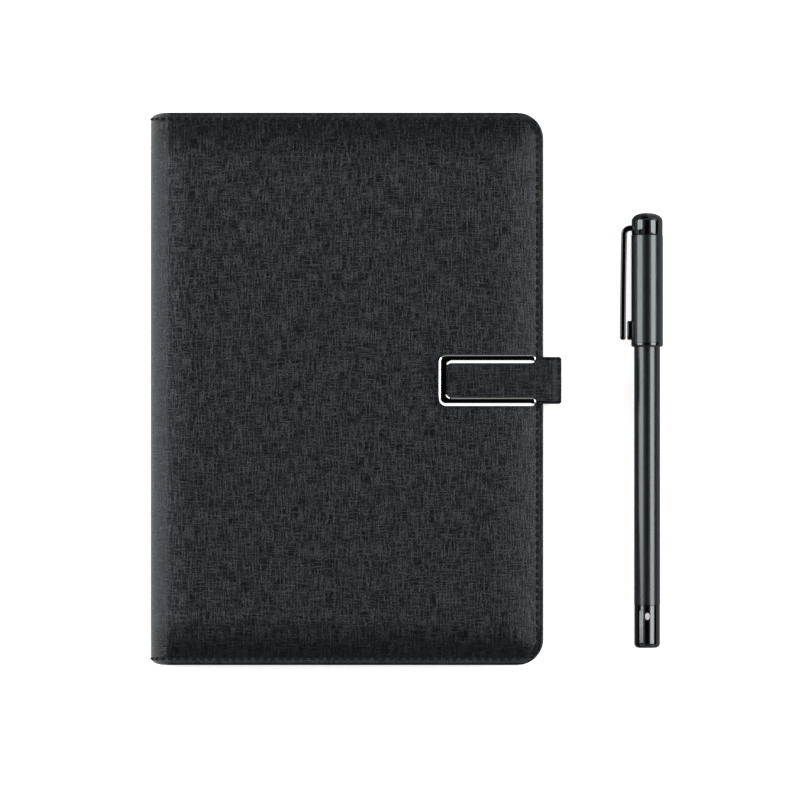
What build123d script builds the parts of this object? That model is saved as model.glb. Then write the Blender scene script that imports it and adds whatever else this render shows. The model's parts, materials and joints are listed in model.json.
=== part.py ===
"""Digital writing notebook: an A5 leather folio, its paper block and its camera pen.

Millimetres. +X points from the spine to the fore edge, +Y towards the head of the
page and +Z up from the table. The origin is the centre of the back cover's
underside. The folio is shut, its strap is closed and the capped pen lies beside it.
"""

import os
from math import atan2, cos, degrees, radians, sin

from build123d import *

os.makedirs("parts", exist_ok=True)

# Paper block
leaf_width = 146.0
leaf_length = 210.0
leaf_corner = 6.0
back_leaves_thick = 5.75
front_leaves_thick = 4.6
card_thick = 0.4
binding_thick = 0.3
leaf_slip = 0.05

# Leather folio
head_overhang = 4.0
fore_overhang = 4.5
spine_thick = 3.5
spine_room = 0.7
skin_thick = 0.8
foam_thick = 1.1
board_thick = 1.8
lining_thick = 0.5
pocket_thick = 0.6
cover_room = 0.2
fore_corner = 10.3
tail_corner = 3.5
bend_radius = 8.0
crease_gap = 0.3
board_inset = 4.2
board_hinge_inset = 2.0
lining_inset = 0.8
rim_bevel = 0.7
spine_board_thick = 1.0
spine_board_gap = 1.1

# Padded front field and its stitched border
border_width = 3.6
border_drop = 1.5
pad_slope = 8.4
pad_corner = 2.0

# Pockets inside the folio
sleeve_width = 67.5
sleeve_rim = 1.7
sleeve_slip = 0.3
sleeve_edge = 2.0
pocket_height = 132.0
pocket_edge = 3.0
thumb_notch_radius = 9.0
slot_count = 3
slot_width = 64.0
slot_height = 17.0
slot_pitch = 20.0

# Closing strap
strap_width = 18.55
strap_thick = 2.4
strap_centre_y = 3.33
strap_reach = 7.17
strap_bend = 4.4
strap_drop = 0.8
strap_rest_gap = 0.1
strap_tail_length = 27.5
strap_tail_thick = 1.2
strap_lining_thick = 0.7
strap_slit_play = 0.1

# Buckle frame round the tongue
frame_reach = 48.31
frame_span = 38.04
frame_tip_cover = 0.94
frame_height = 20.1
frame_bar = 3.0
frame_end_bar = 2.8
frame_lip = 0.8
frame_outer_corner = 2.8
frame_inner_corner = 2.1
frame_bevel = 0.7
frame_fit = 0.05

# Magnets of the closure
magnet_length = 12.0
magnet_width = 10.0
magnet_thick = 1.0
keeper_length = 20.0
keeper_width = 13.0
keeper_thick = 0.8
magnet_play = 0.1

# Pen, lying along Y
pen_spacing = 34.03
pen_top = 69.6
pen_length = 172.0
cap_length = 53.0
cap_diameter = 12.6
cap_wall = 0.85
mouth_length = 1.7
mouth_lip = 0.8
lip_steps = 2
finial_diameter = 12.3
finial_length = 8.7
dome_height = 3.6
dome_squareness = 0.85
dome_steps = 3
plug_length = 1.5
plug_play = 0.05
barrel_diameter = 10.3
barrel_wall = 0.9
tail_diameter = 10.15
tail_length = 16.9
tail_round = 1.8
tail_steps = 3
tail_wall = 1.0
cap_play = 0.2
cap_cover_length = 11.4
seam_relief = 0.15

# Nose, refill and camera
nose_straight = 10.0
nose_cone = 16.0
nose_step = 0.15
nose_tip_radius = 1.6
nose_wall = 0.9
neck_length = 4.0
neck_wall = 0.7
neck_play = 0.05
refill_diameter = 2.35
refill_length = 67.0
refill_play = 0.15
tip_length = 5.0
tip_showing = 2.2
ball_diameter = 0.7
nib_travel = 0.4
holder_wall = 0.6
holder_length = 8.0
sensor_diameter = 3.5
sensor_thick = 2.0
window_width = 3.0
window_length = 3.4
window_thick = 0.6
window_sink = 0.1
window_place = 5.0
window_seat = 0.45
camera_width = 3.0
camera_height = 1.6
camera_length = 6.0
camera_drop = 1.5

# Electronics
board_width = 6.2
circuit_thick = 0.8
circuit_length = 47.5
circuit_height = 1.9
chassis_play = 0.1
chassis_bore = 3.9
battery_diameter = 7.0
battery_length = 44.0
battery_gap = 4.0
tail_board_width = 5.0
tail_board_length = 17.5
socket_width = 7.5
socket_height = 2.45
socket_length = 5.0
socket_sheet = 0.28
socket_corner = 0.7
socket_play = 0.05
tongue_width = 3.7
tongue_thick = 0.6
led_width = 1.95
led_length = 3.2
led_place = 4.4
led_chip_height = 0.7
pipe_play = 0.02
pipe_sink = 0.1

# Clip
clip_top = 64.9
clip_root_height = 3.0
clip_thick = 2.2
clip_width = 4.2
clip_stand_top = 3.6
clip_stand_end = 4.4
clip_end = 19.4
clip_bend = 2.6
clip_bury = 1.7
clip_play = 0.4
clip_edge = 0.5
grip_pad_length = 7.5
grip_pad_height = 1.6
grip_pad_width = 3.6
grip_pad_round = 0.5

# Levels and edges of the shut folio, from the table up
cover_length = leaf_length + 2 * head_overhang
cover_width = spine_thick + spine_room + binding_thick + leaf_width + fore_overhang
spine_x = -cover_width / 2
fore_x = cover_width / 2
leaf_left = spine_x + spine_thick + spine_room + binding_thick
leaf_right = leaf_left + leaf_width
leaf_mid = (leaf_left + leaf_right) / 2
back_board_top = skin_thick + board_thick
back_lining_top = back_board_top + lining_thick
card_level = back_lining_top + leaf_slip
sleeve_level = card_level + card_thick + leaf_slip
sleeve_top = sleeve_level + pocket_thick
leaves_level = sleeve_top + leaf_slip
fold_level = leaves_level + back_leaves_thick + leaf_slip
front_leaves_level = fold_level + leaf_slip
front_card_level = front_leaves_level + front_leaves_thick
pocket_level = front_card_level + card_thick + cover_room
front_lining_level = pocket_level + pocket_thick
front_board_level = front_lining_level + lining_thick
foam_level = front_board_level + board_thick
field_under = foam_level + foam_thick
folio_height = field_under + skin_thick
border_level = folio_height - border_drop
bend_x = spine_x + bend_radius
board_left = bend_x + board_hinge_inset

# Angles and lines of the two folds
crease_angle = degrees(crease_gap / 2 / bend_radius)
half_length = cover_length / 2
fold_stations = (
    (-half_length, border_drop),
    (-half_length + border_width, border_drop),
    (-half_length + border_width + pad_slope, 0.0),
    (half_length - border_width - pad_slope, 0.0),
    (half_length - border_width, border_drop),
    (half_length, border_drop),
)

# Strap lines
strap_out = fore_x + strap_reach
strap_in = strap_out - strap_thick
strap_bend_x = strap_out - strap_bend
strap_low = strap_drop
strap_under = folio_height + strap_rest_gap
strap_over = strap_under + strap_thick
strap_low_centre = strap_low + strap_bend
strap_high_centre = strap_over - strap_bend
strap_bend_inner = strap_bend - strap_thick
strap_crease = degrees(crease_gap / 2 / (strap_bend - strap_thick / 2))
strap_tail_z = back_board_top - strap_tail_thick
frame_left = strap_out - frame_reach
frame_right = frame_left + frame_span
strap_tip = frame_left + frame_tip_cover
magnet_x = (frame_left + frame_end_bar + frame_right) / 2
magnet_z = strap_under + strap_lining_thick

# Pen lines
pen_x = strap_out + pen_spacing
pen_z = cap_diameter / 2
pen_end = pen_top - pen_length
cap_radius = cap_diameter / 2
barrel_radius = barrel_diameter / 2
barrel_bore = barrel_radius - barrel_wall
cap_bore = cap_radius - cap_wall
cap_mouth = pen_top - cap_length
sleeve_mouth = cap_mouth + mouth_length
finial_seam = pen_top - finial_length
finial_radius = finial_diameter / 2
tail_radius = tail_diameter / 2
tail_seam = pen_end + tail_length
tail_bore = tail_radius - tail_wall
neck_radius = barrel_bore - neck_play
neck_bore = neck_radius - neck_wall
nose_seam = cap_mouth + cap_cover_length
nose_radius = barrel_radius - nose_step
nose_shoulder = nose_seam + nose_straight
nose_tip = nose_shoulder + nose_cone
refill_radius = refill_diameter / 2
guide_radius = refill_radius + refill_play
pen_point = nose_tip + tip_showing
refill_front = pen_point - tip_length
refill_back = pen_point - refill_length
holder_radius = refill_radius + holder_wall
sensor_front = refill_back - holder_wall - nib_travel
neck_back = nose_seam - neck_length
circuit_front = neck_back - chassis_play
circuit_back = circuit_front - circuit_length
chassis_radius = barrel_bore - chassis_play
liner_bore = nose_radius - nose_wall
pen_plane = Plane(origin=(pen_x, 0, pen_z), x_dir=(1, 0, 0), z_dir=(0, 0, 1))
pen_axis = Axis((pen_x, 0, pen_z), (0, 1, 0))


def panel_outline(level, inset, left, corner):
    """Outline of a cover layer: square at the hinge, rounded at the fore edge."""
    right = fore_x - inset
    reach = half_length - inset
    with BuildSketch(Plane.XY.offset(level)) as outline:
        with Locations(((left + right) / 2, 0)):
            Rectangle(right - left, 2 * reach)
        fillet(outline.vertices().group_by(Axis.X)[-1], radius=corner)
    return outline.sketch


def inner_corner(inset):
    """Corner radius of a layer that lies inside the cover's own corner."""
    return max(fore_corner - inset, pad_corner)


def leaf_outline(level):
    """Outline of a leaf or card, rounded at its fore edge."""
    with BuildSketch(Plane.XY.offset(level)) as outline:
        with Locations((leaf_mid, 0)):
            Rectangle(leaf_width, leaf_length)
        fillet(outline.vertices().group_by(Axis.X)[-1], radius=leaf_corner)
    return outline.sketch


def band_section(plane, centre, inner, outer, start, end):
    """Slice of a bent sheet: a ring sector about a bend's centre."""
    with BuildSketch(plane) as section:
        with BuildLine():
            near = CenterArc(centre, inner, start, end - start)
            far = CenterArc(centre, outer, start, end - start)
            Line(near @ 0, far @ 0)
            Line(near @ 1, far @ 1)
        make_face()
    return section.sketch


def cross_plane(y):
    """Plane across the folio at one place along its length: X right, Z up."""
    return Plane(origin=(0, y, 0), x_dir=(1, 0, 0), z_dir=(0, -1, 0))


def front_bend_section(y, drop):
    """Half of the leather bend that belongs to the front cover."""
    centre = (bend_x, folio_height - drop - bend_radius)
    inner = bend_radius - skin_thick
    return band_section(cross_plane(y), centre, inner, bend_radius, 90, 135 - crease_angle)


def spine_section(y, drop):
    """Spine leather: half a bend, the flat back and half a bend."""
    low = (bend_x, bend_radius)
    high = (bend_x, folio_height - drop - bend_radius)
    inner = bend_radius - skin_thick
    sweep_angle = 45 - crease_angle
    with BuildSketch(cross_plane(y)) as section:
        with BuildLine():
            top_out = CenterArc(high, bend_radius, 180, -sweep_angle)
            top_in = CenterArc(high, inner, 180, -sweep_angle)
            low_out = CenterArc(low, bend_radius, 180, sweep_angle)
            low_in = CenterArc(low, inner, 180, sweep_angle)
            Line(top_out @ 1, top_in @ 1)
            Line(low_out @ 1, low_in @ 1)
            Line(top_out @ 0, low_out @ 0)
            Line(top_in @ 0, low_in @ 0)
        make_face()
    return section.sketch


def turned(points):
    """Closed half profile for a piece turned about the pen's axis."""
    with BuildSketch(pen_plane) as profile:
        with BuildLine():
            Polyline(points, close=True)
        make_face()
    return profile.sketch


def rounded_edge(radius, y, width, height, squareness, steps):
    """Points of a rounded shoulder, from its side (radius, y) to its end face."""
    points = []
    for step in range(steps + 1):
        angle = radians(90 * step / steps)
        across = radius - width + width * cos(angle) ** squareness
        along = y + height * sin(angle) ** squareness
        points.append((across, along))
    return points


def pen_section(y):
    """Plane square to the pen's axis, facing its cap: X right, Z up is minus Y local."""
    return Plane(origin=(pen_x, y, pen_z), x_dir=(1, 0, 0), z_dir=(0, 1, 0))


# Front cover
with BuildPart() as front_cover_foam:
    foam_edge = border_width + pad_slope * (border_drop - foam_thick) / border_drop
    foam_field = border_width + pad_slope
    loft(
        [
            panel_outline(foam_level, foam_edge, board_left, inner_corner(foam_edge)),
            panel_outline(field_under, foam_field, board_left, inner_corner(foam_field)),
        ],
        ruled=True,
    )
front_cover_foam.part.label = "front_cover_foam"

with BuildPart() as front_cover_skin:
    extrude(panel_outline(front_board_level, 0, bend_x, fore_corner), border_level - front_board_level)
    rim = front_cover_skin.faces().sort_by(Axis.Z)[-1].edges()
    chamfer(rim - rim.group_by(Axis.X)[0], length=rim_bevel)
    field_inset = border_width + pad_slope
    loft(
        [
            panel_outline(border_level, border_width, bend_x, inner_corner(border_width)),
            panel_outline(folio_height, field_inset, bend_x, inner_corner(field_inset)),
        ],
        ruled=True,
    )
    loft([front_bend_section(y, drop) for y, drop in fold_stations], ruled=True)
    extrude(
        panel_outline(front_board_level, board_inset, board_left, inner_corner(board_inset)),
        board_thick,
        mode=Mode.SUBTRACT,
    )
    add(front_cover_foam.part, mode=Mode.SUBTRACT)
front_cover_skin.part.label = "front_cover_skin"

with BuildPart() as front_cover_board:
    extrude(
        panel_outline(front_board_level, board_inset, board_left, inner_corner(board_inset)),
        board_thick,
    )
    with BuildSketch(Plane.XY.offset(foam_level - keeper_thick)):
        with Locations((magnet_x, strap_centre_y)):
            Rectangle(keeper_length + 2 * magnet_play, keeper_width + 2 * magnet_play)
    extrude(amount=keeper_thick, mode=Mode.SUBTRACT)
front_cover_board.part.label = "front_cover_board"

with BuildPart() as front_keeper_plate:
    with BuildSketch(Plane.XY.offset(foam_level - keeper_thick)):
        with Locations((magnet_x, strap_centre_y)):
            Rectangle(keeper_length, keeper_width)
    extrude(amount=keeper_thick)
    fillet(front_keeper_plate.edges().filter_by(Axis.Z), radius=magnet_thick)
front_keeper_plate.part.label = "front_keeper_plate"

with BuildPart() as front_cover_lining:
    extrude(
        panel_outline(front_lining_level, lining_inset, bend_x, inner_corner(lining_inset)),
        lining_thick,
    )
front_cover_lining.part.label = "front_cover_lining"

with BuildPart() as front_pocket:
    pocket_low = -half_length + pocket_edge
    pocket_left = board_left + pocket_edge
    pocket_right = fore_x - pocket_edge
    pocket_mid = (pocket_left + pocket_right) / 2
    with BuildSketch(Plane.XY.offset(pocket_level)) as pocket_sheet:
        with Locations((pocket_mid, pocket_low + pocket_height / 2)):
            Rectangle(pocket_right - pocket_left, pocket_height)
        fillet(
            pocket_sheet.vertices().group_by(Axis.Y)[0].sort_by(Axis.X)[-1],
            radius=inner_corner(pocket_edge),
        )
        with Locations((pocket_mid, pocket_low + pocket_height)):
            Circle(thumb_notch_radius, mode=Mode.SUBTRACT)
    extrude(amount=pocket_thick)
front_pocket.part.label = "front_pocket"

with BuildPart() as card_slots:
    slots_y = pocket_low + pocket_height + slot_pitch - (slot_pitch - slot_height) / 2
    slot_places = [(pocket_mid, slots_y + slot_pitch * step) for step in range(slot_count)]
    with BuildSketch(Plane.XY.offset(pocket_level)):
        with Locations(slot_places):
            Rectangle(slot_width, slot_height)
    extrude(amount=pocket_thick)
card_slots.part.label = "card_slots"

# Spine
with BuildPart() as spine_skin:
    loft([spine_section(y, drop) for y, drop in fold_stations], ruled=True)
    with BuildSketch(Plane.XY) as spine_ends:
        with Locations((spine_x + cover_width / 2, 0)):
            RectangleRounded(cover_width, cover_length, tail_corner)
    extrude(amount=folio_height, mode=Mode.INTERSECT)
spine_skin.part.label = "spine_skin"

with BuildPart() as spine_foam:
    spine_flat = folio_height - 2 * bend_radius
    spine_board_x = spine_x + spine_thick - lining_thick - spine_board_thick
    spine_board_length = cover_length - 2 * (border_width + pad_slope)
    with BuildSketch(Plane.YZ.offset(spine_x + skin_thick)):
        with Locations((0, folio_height / 2)):
            Rectangle(spine_board_length, spine_flat)
    extrude(amount=spine_board_x - spine_x - skin_thick)
spine_foam.part.label = "spine_foam"

with BuildPart() as spine_board:
    spine_board_width = folio_height - 2 * (back_lining_top + spine_board_gap)
    with BuildSketch(Plane.YZ.offset(spine_board_x)):
        with Locations((0, folio_height / 2)):
            Rectangle(spine_board_length, spine_board_width)
    extrude(amount=spine_board_thick)
spine_board.part.label = "spine_board"

with BuildPart() as spine_lining:
    with BuildSketch(Plane.YZ.offset(spine_x + spine_thick - lining_thick)):
        with Locations((0, folio_height / 2)):
            Rectangle(cover_length - 2 * lining_inset, spine_board_width - 2 * border_drop)
    extrude(amount=lining_thick)
spine_lining.part.label = "spine_lining"

# Back cover
with BuildPart() as back_cover_skin:
    extrude(panel_outline(0, 0, bend_x, fore_corner), back_board_top)
    rim = back_cover_skin.faces().sort_by(Axis.Z)[0].edges()
    chamfer(rim - rim.group_by(Axis.X)[0], length=rim_bevel)
    back_bend = band_section(
        Plane.XZ, (bend_x, bend_radius), bend_radius - skin_thick, bend_radius, 225 + crease_angle, 270
    )
    extrude(back_bend, amount=half_length, both=True)
    extrude(
        panel_outline(skin_thick, board_inset, board_left, inner_corner(board_inset)),
        board_thick,
        mode=Mode.SUBTRACT,
    )
    with BuildSketch(Plane.XY.offset(strap_tail_z)):
        with Locations((fore_x - board_inset, strap_centre_y)):
            Rectangle(
                2 * board_inset + 2 * strap_slit_play,
                strap_width + 2 * strap_slit_play,
            )
    extrude(amount=strap_tail_thick, mode=Mode.SUBTRACT)
back_cover_skin.part.label = "back_cover_skin"

with BuildPart() as back_cover_board:
    extrude(
        panel_outline(skin_thick, board_inset, board_left, inner_corner(board_inset)),
        board_thick,
    )
    with BuildSketch(Plane.XY.offset(strap_tail_z)):
        with Locations((fore_x - strap_tail_length / 2, strap_centre_y)):
            Rectangle(
                strap_tail_length + 2 * strap_slit_play,
                strap_width + 2 * strap_slit_play,
            )
    extrude(amount=strap_tail_thick, mode=Mode.SUBTRACT)
back_cover_board.part.label = "back_cover_board"

with BuildPart() as back_cover_lining:
    extrude(
        panel_outline(back_board_top, lining_inset, bend_x, inner_corner(lining_inset)),
        lining_thick,
    )
back_cover_lining.part.label = "back_cover_lining"

with BuildPart() as back_sleeve:
    sleeve_right = leaf_right + sleeve_slip + sleeve_rim
    sleeve_half = leaf_length / 2 + sleeve_slip + sleeve_rim
    sleeve_left = sleeve_right - sleeve_width
    sleeve_corner = leaf_corner + sleeve_slip + sleeve_rim
    with BuildSketch(Plane.XY.offset(back_lining_top)) as sleeve_sheet:
        with Locations(((sleeve_left + sleeve_right) / 2, 0)):
            Rectangle(sleeve_width, 2 * sleeve_half)
        fillet(sleeve_sheet.vertices().group_by(Axis.X)[-1], radius=sleeve_corner)
    extrude(amount=sleeve_top - back_lining_top)
    with BuildSketch(Plane.XY.offset(back_lining_top)) as card_room:
        with Locations((leaf_mid, 0)):
            Rectangle(leaf_width + 2 * sleeve_slip, leaf_length + 2 * sleeve_slip)
        fillet(card_room.vertices().group_by(Axis.X)[-1], radius=leaf_corner + sleeve_slip)
    extrude(amount=sleeve_level - back_lining_top, mode=Mode.SUBTRACT)
back_sleeve.part.label = "back_sleeve"

# Paper block
with BuildPart() as back_card:
    extrude(leaf_outline(card_level), card_thick)
back_card.part.label = "back_card"

with BuildPart() as back_leaves:
    extrude(leaf_outline(leaves_level), back_leaves_thick)
    drape_right = sleeve_left - sleeve_edge
    with BuildSketch(Plane.XY.offset(sleeve_level)):
        with Locations(((leaf_left + drape_right) / 2, 0)):
            Rectangle(drape_right - leaf_left, leaf_length)
    extrude(amount=leaves_level - sleeve_level)
back_leaves.part.label = "back_leaves"

with BuildPart() as back_binding:
    with BuildSketch(Plane.XY.offset(card_level)):
        with Locations((leaf_left - binding_thick / 2, 0)):
            Rectangle(binding_thick, leaf_length)
    extrude(amount=fold_level - leaf_slip - card_level)
back_binding.part.label = "back_binding"

with BuildPart() as front_leaves:
    extrude(leaf_outline(front_leaves_level), front_leaves_thick)
front_leaves.part.label = "front_leaves"

with BuildPart() as front_card:
    extrude(leaf_outline(front_card_level), card_thick)
front_card.part.label = "front_card"

with BuildPart() as front_binding:
    with BuildSketch(Plane.XY.offset(front_leaves_level)):
        with Locations((leaf_left - binding_thick / 2, 0)):
            Rectangle(binding_thick, leaf_length)
    extrude(amount=front_leaves_thick + card_thick)
front_binding.part.label = "front_binding"

# Strap
strap_plane = Plane.XZ.offset(-strap_centre_y)

with BuildPart() as strap_anchor:
    anchor_bend = band_section(
        strap_plane,
        (strap_bend_x, strap_low_centre),
        strap_bend_inner,
        strap_bend,
        270,
        315 - strap_crease,
    )
    extrude(anchor_bend, amount=strap_width / 2, both=True)
    strap_exit = fore_x + strap_slit_play
    with BuildSketch(Plane.XY.offset(strap_low)):
        with Locations(((strap_exit + strap_bend_x) / 2, strap_centre_y)):
            Rectangle(strap_bend_x - strap_exit, strap_width)
    extrude(amount=strap_thick)
    with BuildSketch(Plane.XY.offset(strap_tail_z)):
        with Locations(((fore_x - strap_tail_length + strap_exit) / 2, strap_centre_y)):
            Rectangle(strap_exit - fore_x + strap_tail_length, strap_width)
    extrude(amount=strap_tail_thick)
strap_anchor.part.label = "strap_anchor"

with BuildPart() as strap_riser:
    for centre_z, start, end in (
        (strap_low_centre, 315 + strap_crease, 360),
        (strap_high_centre, 0, 45 - strap_crease),
    ):
        riser_bend = band_section(
            strap_plane, (strap_bend_x, centre_z), strap_bend_inner, strap_bend, start, end
        )
        extrude(riser_bend, amount=strap_width / 2, both=True)
    with BuildSketch(Plane.XY.offset(strap_low_centre)):
        with Locations(((strap_in + strap_out) / 2, strap_centre_y)):
            Rectangle(strap_thick, strap_width)
    extrude(amount=strap_high_centre - strap_low_centre)
strap_riser.part.label = "strap_riser"

with BuildPart() as strap_flap:
    flap_bend = band_section(
        strap_plane,
        (strap_bend_x, strap_high_centre),
        strap_bend_inner,
        strap_bend,
        45 + strap_crease,
        90,
    )
    extrude(flap_bend, amount=strap_width / 2, both=True)
    with BuildSketch(Plane.XY.offset(strap_under)):
        with Locations(((strap_tip + strap_bend_x) / 2, strap_centre_y)):
            Rectangle(strap_bend_x - strap_tip, strap_width)
    extrude(amount=strap_thick)
    fillet(
        strap_flap.edges().filter_by(Axis.Z).group_by(Axis.X)[0],
        radius=frame_outer_corner - frame_tip_cover,
    )
    with BuildSketch(Plane.XY.offset(strap_under)):
        with Locations(((frame_left + strap_bend_x) / 2, strap_centre_y)):
            Rectangle(strap_bend_x - frame_left, strap_width)
    extrude(amount=strap_lining_thick, mode=Mode.SUBTRACT)
    with BuildSketch(Plane.XY.offset(magnet_z)):
        with Locations((magnet_x, strap_centre_y)):
            Rectangle(magnet_length + 2 * magnet_play, magnet_width + 2 * magnet_play)
    extrude(amount=magnet_thick, mode=Mode.SUBTRACT)
strap_flap.part.label = "strap_flap"

with BuildPart() as strap_flap_lining:
    with BuildSketch(Plane.XY.offset(strap_under)) as lining_strip:
        with Locations(((strap_tip + strap_bend_x) / 2, strap_centre_y)):
            Rectangle(strap_bend_x - strap_tip, strap_width)
        fillet(
            lining_strip.vertices().group_by(Axis.X)[0],
            radius=frame_outer_corner - frame_tip_cover,
        )
    extrude(amount=strap_lining_thick)
strap_flap_lining.part.label = "strap_flap_lining"

with BuildPart() as strap_magnet:
    with BuildSketch(Plane.XY.offset(magnet_z)):
        with Locations((magnet_x, strap_centre_y)):
            Rectangle(magnet_length, magnet_width)
    extrude(amount=magnet_thick)
strap_magnet.part.label = "strap_magnet"

with BuildPart() as buckle_frame:
    frame_top = strap_over + frame_lip
    with BuildSketch(Plane.XY.offset(strap_under)) as frame_shape:
        with Locations((frame_left + frame_span / 2, strap_centre_y)):
            Rectangle(frame_span, frame_height)
        fillet(frame_shape.vertices().group_by(Axis.X)[0], radius=frame_outer_corner)
        with Locations((frame_left + frame_end_bar + frame_span / 2, strap_centre_y)):
            RectangleRounded(
                frame_span, frame_height - 2 * frame_bar, frame_inner_corner, mode=Mode.SUBTRACT
            )
        bar_ends = frame_shape.vertices().group_by(Axis.X)[-1]
        fillet(bar_ends, radius=frame_bar / 2 - frame_fit)
    extrude(amount=frame_top - strap_under)
    with BuildSketch(Plane.XY.offset(strap_under)) as strap_channel:
        with Locations(((strap_tip + frame_right) / 2, strap_centre_y)):
            Rectangle(
                frame_right - strap_tip + 2 * frame_fit,
                strap_width + 2 * frame_fit,
            )
        fillet(
            strap_channel.vertices().group_by(Axis.X)[0],
            radius=frame_outer_corner - frame_tip_cover,
        )
    extrude(amount=strap_thick + frame_fit, mode=Mode.SUBTRACT)
    lip_edges = buckle_frame.faces().sort_by(Axis.Z)[-1].edges()
    chamfer(lip_edges, length=frame_bevel)
buckle_frame.part.label = "buckle_frame"

# Pen barrel and tail
with BuildPart() as pen_barrel:
    revolve(
        turned(
            [
                (barrel_bore, tail_seam),
                (barrel_radius - seam_relief, tail_seam),
                (barrel_radius, tail_seam + seam_relief),
                (barrel_radius, nose_seam - seam_relief),
                (barrel_radius - seam_relief, nose_seam),
                (barrel_bore, nose_seam),
            ]
        ),
        axis=pen_axis,
    )
pen_barrel.part.label = "pen_barrel"

tail_edge = rounded_edge(tail_radius, pen_end + tail_round, tail_round, -tail_round, 1.0, tail_steps)

with BuildPart() as tail_cap:
    revolve(
        turned(
            [
                (neck_bore, tail_seam - tail_wall),
                (neck_bore, tail_seam + neck_length),
                (neck_radius, tail_seam + neck_length),
                (neck_radius, tail_seam),
                (tail_radius - seam_relief, tail_seam),
                (tail_radius, tail_seam - seam_relief),
                *tail_edge,
                (0, pen_end),
                (0, pen_end + tail_wall),
                (tail_bore, pen_end + tail_wall),
                (tail_bore, tail_seam - tail_wall),
            ]
        ),
        axis=pen_axis,
    )
    with BuildSketch(pen_section(pen_end)):
        RectangleRounded(
            socket_width + 2 * socket_play, socket_height + 2 * socket_play, socket_corner + socket_play
        )
    extrude(amount=2 * tail_round, both=True, mode=Mode.SUBTRACT)
    led_y = tail_seam - led_place
    with BuildSketch(Plane(origin=(pen_x, led_y, pen_z), z_dir=(0, 0, 1))):
        SlotOverall(led_length + 2 * pipe_play, led_width + 2 * pipe_play, rotation=90)
    extrude(amount=cap_radius, mode=Mode.SUBTRACT)
tail_cap.part.label = "tail_cap"

with BuildPart() as led_light_pipe:
    tail_board_top = pen_z - socket_height / 2 - socket_play
    led_top = tail_board_top + led_chip_height
    pipe_top = pen_z + tail_radius - pipe_sink
    with BuildSketch(Plane(origin=(pen_x, led_y, led_top), z_dir=(0, 0, 1))):
        SlotOverall(led_length, led_width, rotation=90)
    extrude(amount=pipe_top - led_top)
led_light_pipe.part.label = "led_light_pipe"

with BuildPart() as tail_board:
    tail_board_end = pen_end + tail_wall + socket_play
    with BuildSketch(Plane.XY.offset(tail_board_top - circuit_thick)):
        with Locations((pen_x, tail_board_end + tail_board_length / 2)):
            Rectangle(tail_board_width, tail_board_length)
    extrude(amount=circuit_thick)
    with BuildSketch(Plane.XY.offset(tail_board_top)):
        with Locations((pen_x, led_y)):
            Rectangle(led_width, led_length)
    extrude(amount=led_chip_height)
tail_board.part.label = "tail_board"

with BuildPart() as socket_shell:
    with BuildSketch(pen_section(pen_end)):
        RectangleRounded(socket_width, socket_height, socket_corner)
        RectangleRounded(
            socket_width - 2 * socket_sheet,
            socket_height - 2 * socket_sheet,
            socket_corner - socket_sheet,
            mode=Mode.SUBTRACT,
        )
    extrude(amount=socket_length)
    with BuildSketch(pen_section(pen_end + socket_length - socket_sheet)):
        RectangleRounded(socket_width, socket_height, socket_corner)
    extrude(amount=socket_sheet)
    revolve(
        turned([(0, tail_seam), (tail_radius, tail_seam), *tail_edge, (0, pen_end)]),
        axis=pen_axis,
        mode=Mode.INTERSECT,
    )
socket_shell.part.label = "socket_shell"

with BuildPart() as socket_tongue:
    with BuildSketch(pen_section(pen_end + tail_round)):
        Rectangle(tongue_width, tongue_thick)
    extrude(amount=socket_length - socket_sheet - tail_round)
socket_tongue.part.label = "socket_tongue"

with BuildPart() as battery:
    battery_back = tail_seam + neck_length + battery_gap
    with BuildSketch(pen_section(battery_back)):
        Circle(battery_diameter / 2)
    extrude(amount=battery_length)
battery.part.label = "battery"

# Nose and what it holds
with BuildPart() as nose_section:
    revolve(
        turned(
            [
                (neck_bore, neck_back),
                (neck_radius, neck_back),
                (neck_radius, nose_seam),
                (nose_radius, nose_seam),
                (nose_radius, nose_shoulder),
                (nose_tip_radius, nose_tip),
                (guide_radius, nose_tip),
                (guide_radius, nose_tip - nose_cone / 2),
                (neck_bore, nose_shoulder),
            ]
        ),
        axis=pen_axis,
    )
    cone_slope = (nose_radius - nose_tip_radius) / nose_cone
    cone_angle = atan2(nose_radius - nose_tip_radius, nose_cone)
    window_y = nose_shoulder + window_place
    window_z = pen_z - nose_radius + window_place * cone_slope
    window_plane = Plane(
        origin=(pen_x, window_y, window_z),
        x_dir=(1, 0, 0),
        z_dir=(0, sin(cone_angle), -cos(cone_angle)),
    )
    with BuildSketch(window_plane.offset(-window_sink - window_thick)):
        Rectangle(window_width, window_length)
    extrude(amount=window_length, mode=Mode.SUBTRACT)
    with BuildSketch(window_plane):
        Rectangle(window_width - 2 * window_seat, window_length - 2 * window_seat)
    extrude(amount=-window_length, mode=Mode.SUBTRACT)
nose_section.part.label = "nose_section"

with BuildPart() as camera_window:
    with BuildSketch(window_plane.offset(-window_sink - window_thick)):
        Rectangle(window_width, window_length)
    extrude(amount=window_thick)
camera_window.part.label = "camera_window"

with BuildPart() as camera_module:
    with BuildSketch(Plane.XY.offset(pen_z - camera_drop - camera_height)):
        with Locations((pen_x, nose_shoulder - camera_length / 2 - window_seat)):
            Rectangle(camera_width, camera_length)
    extrude(amount=camera_height)
camera_module.part.label = "camera_module"

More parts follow.
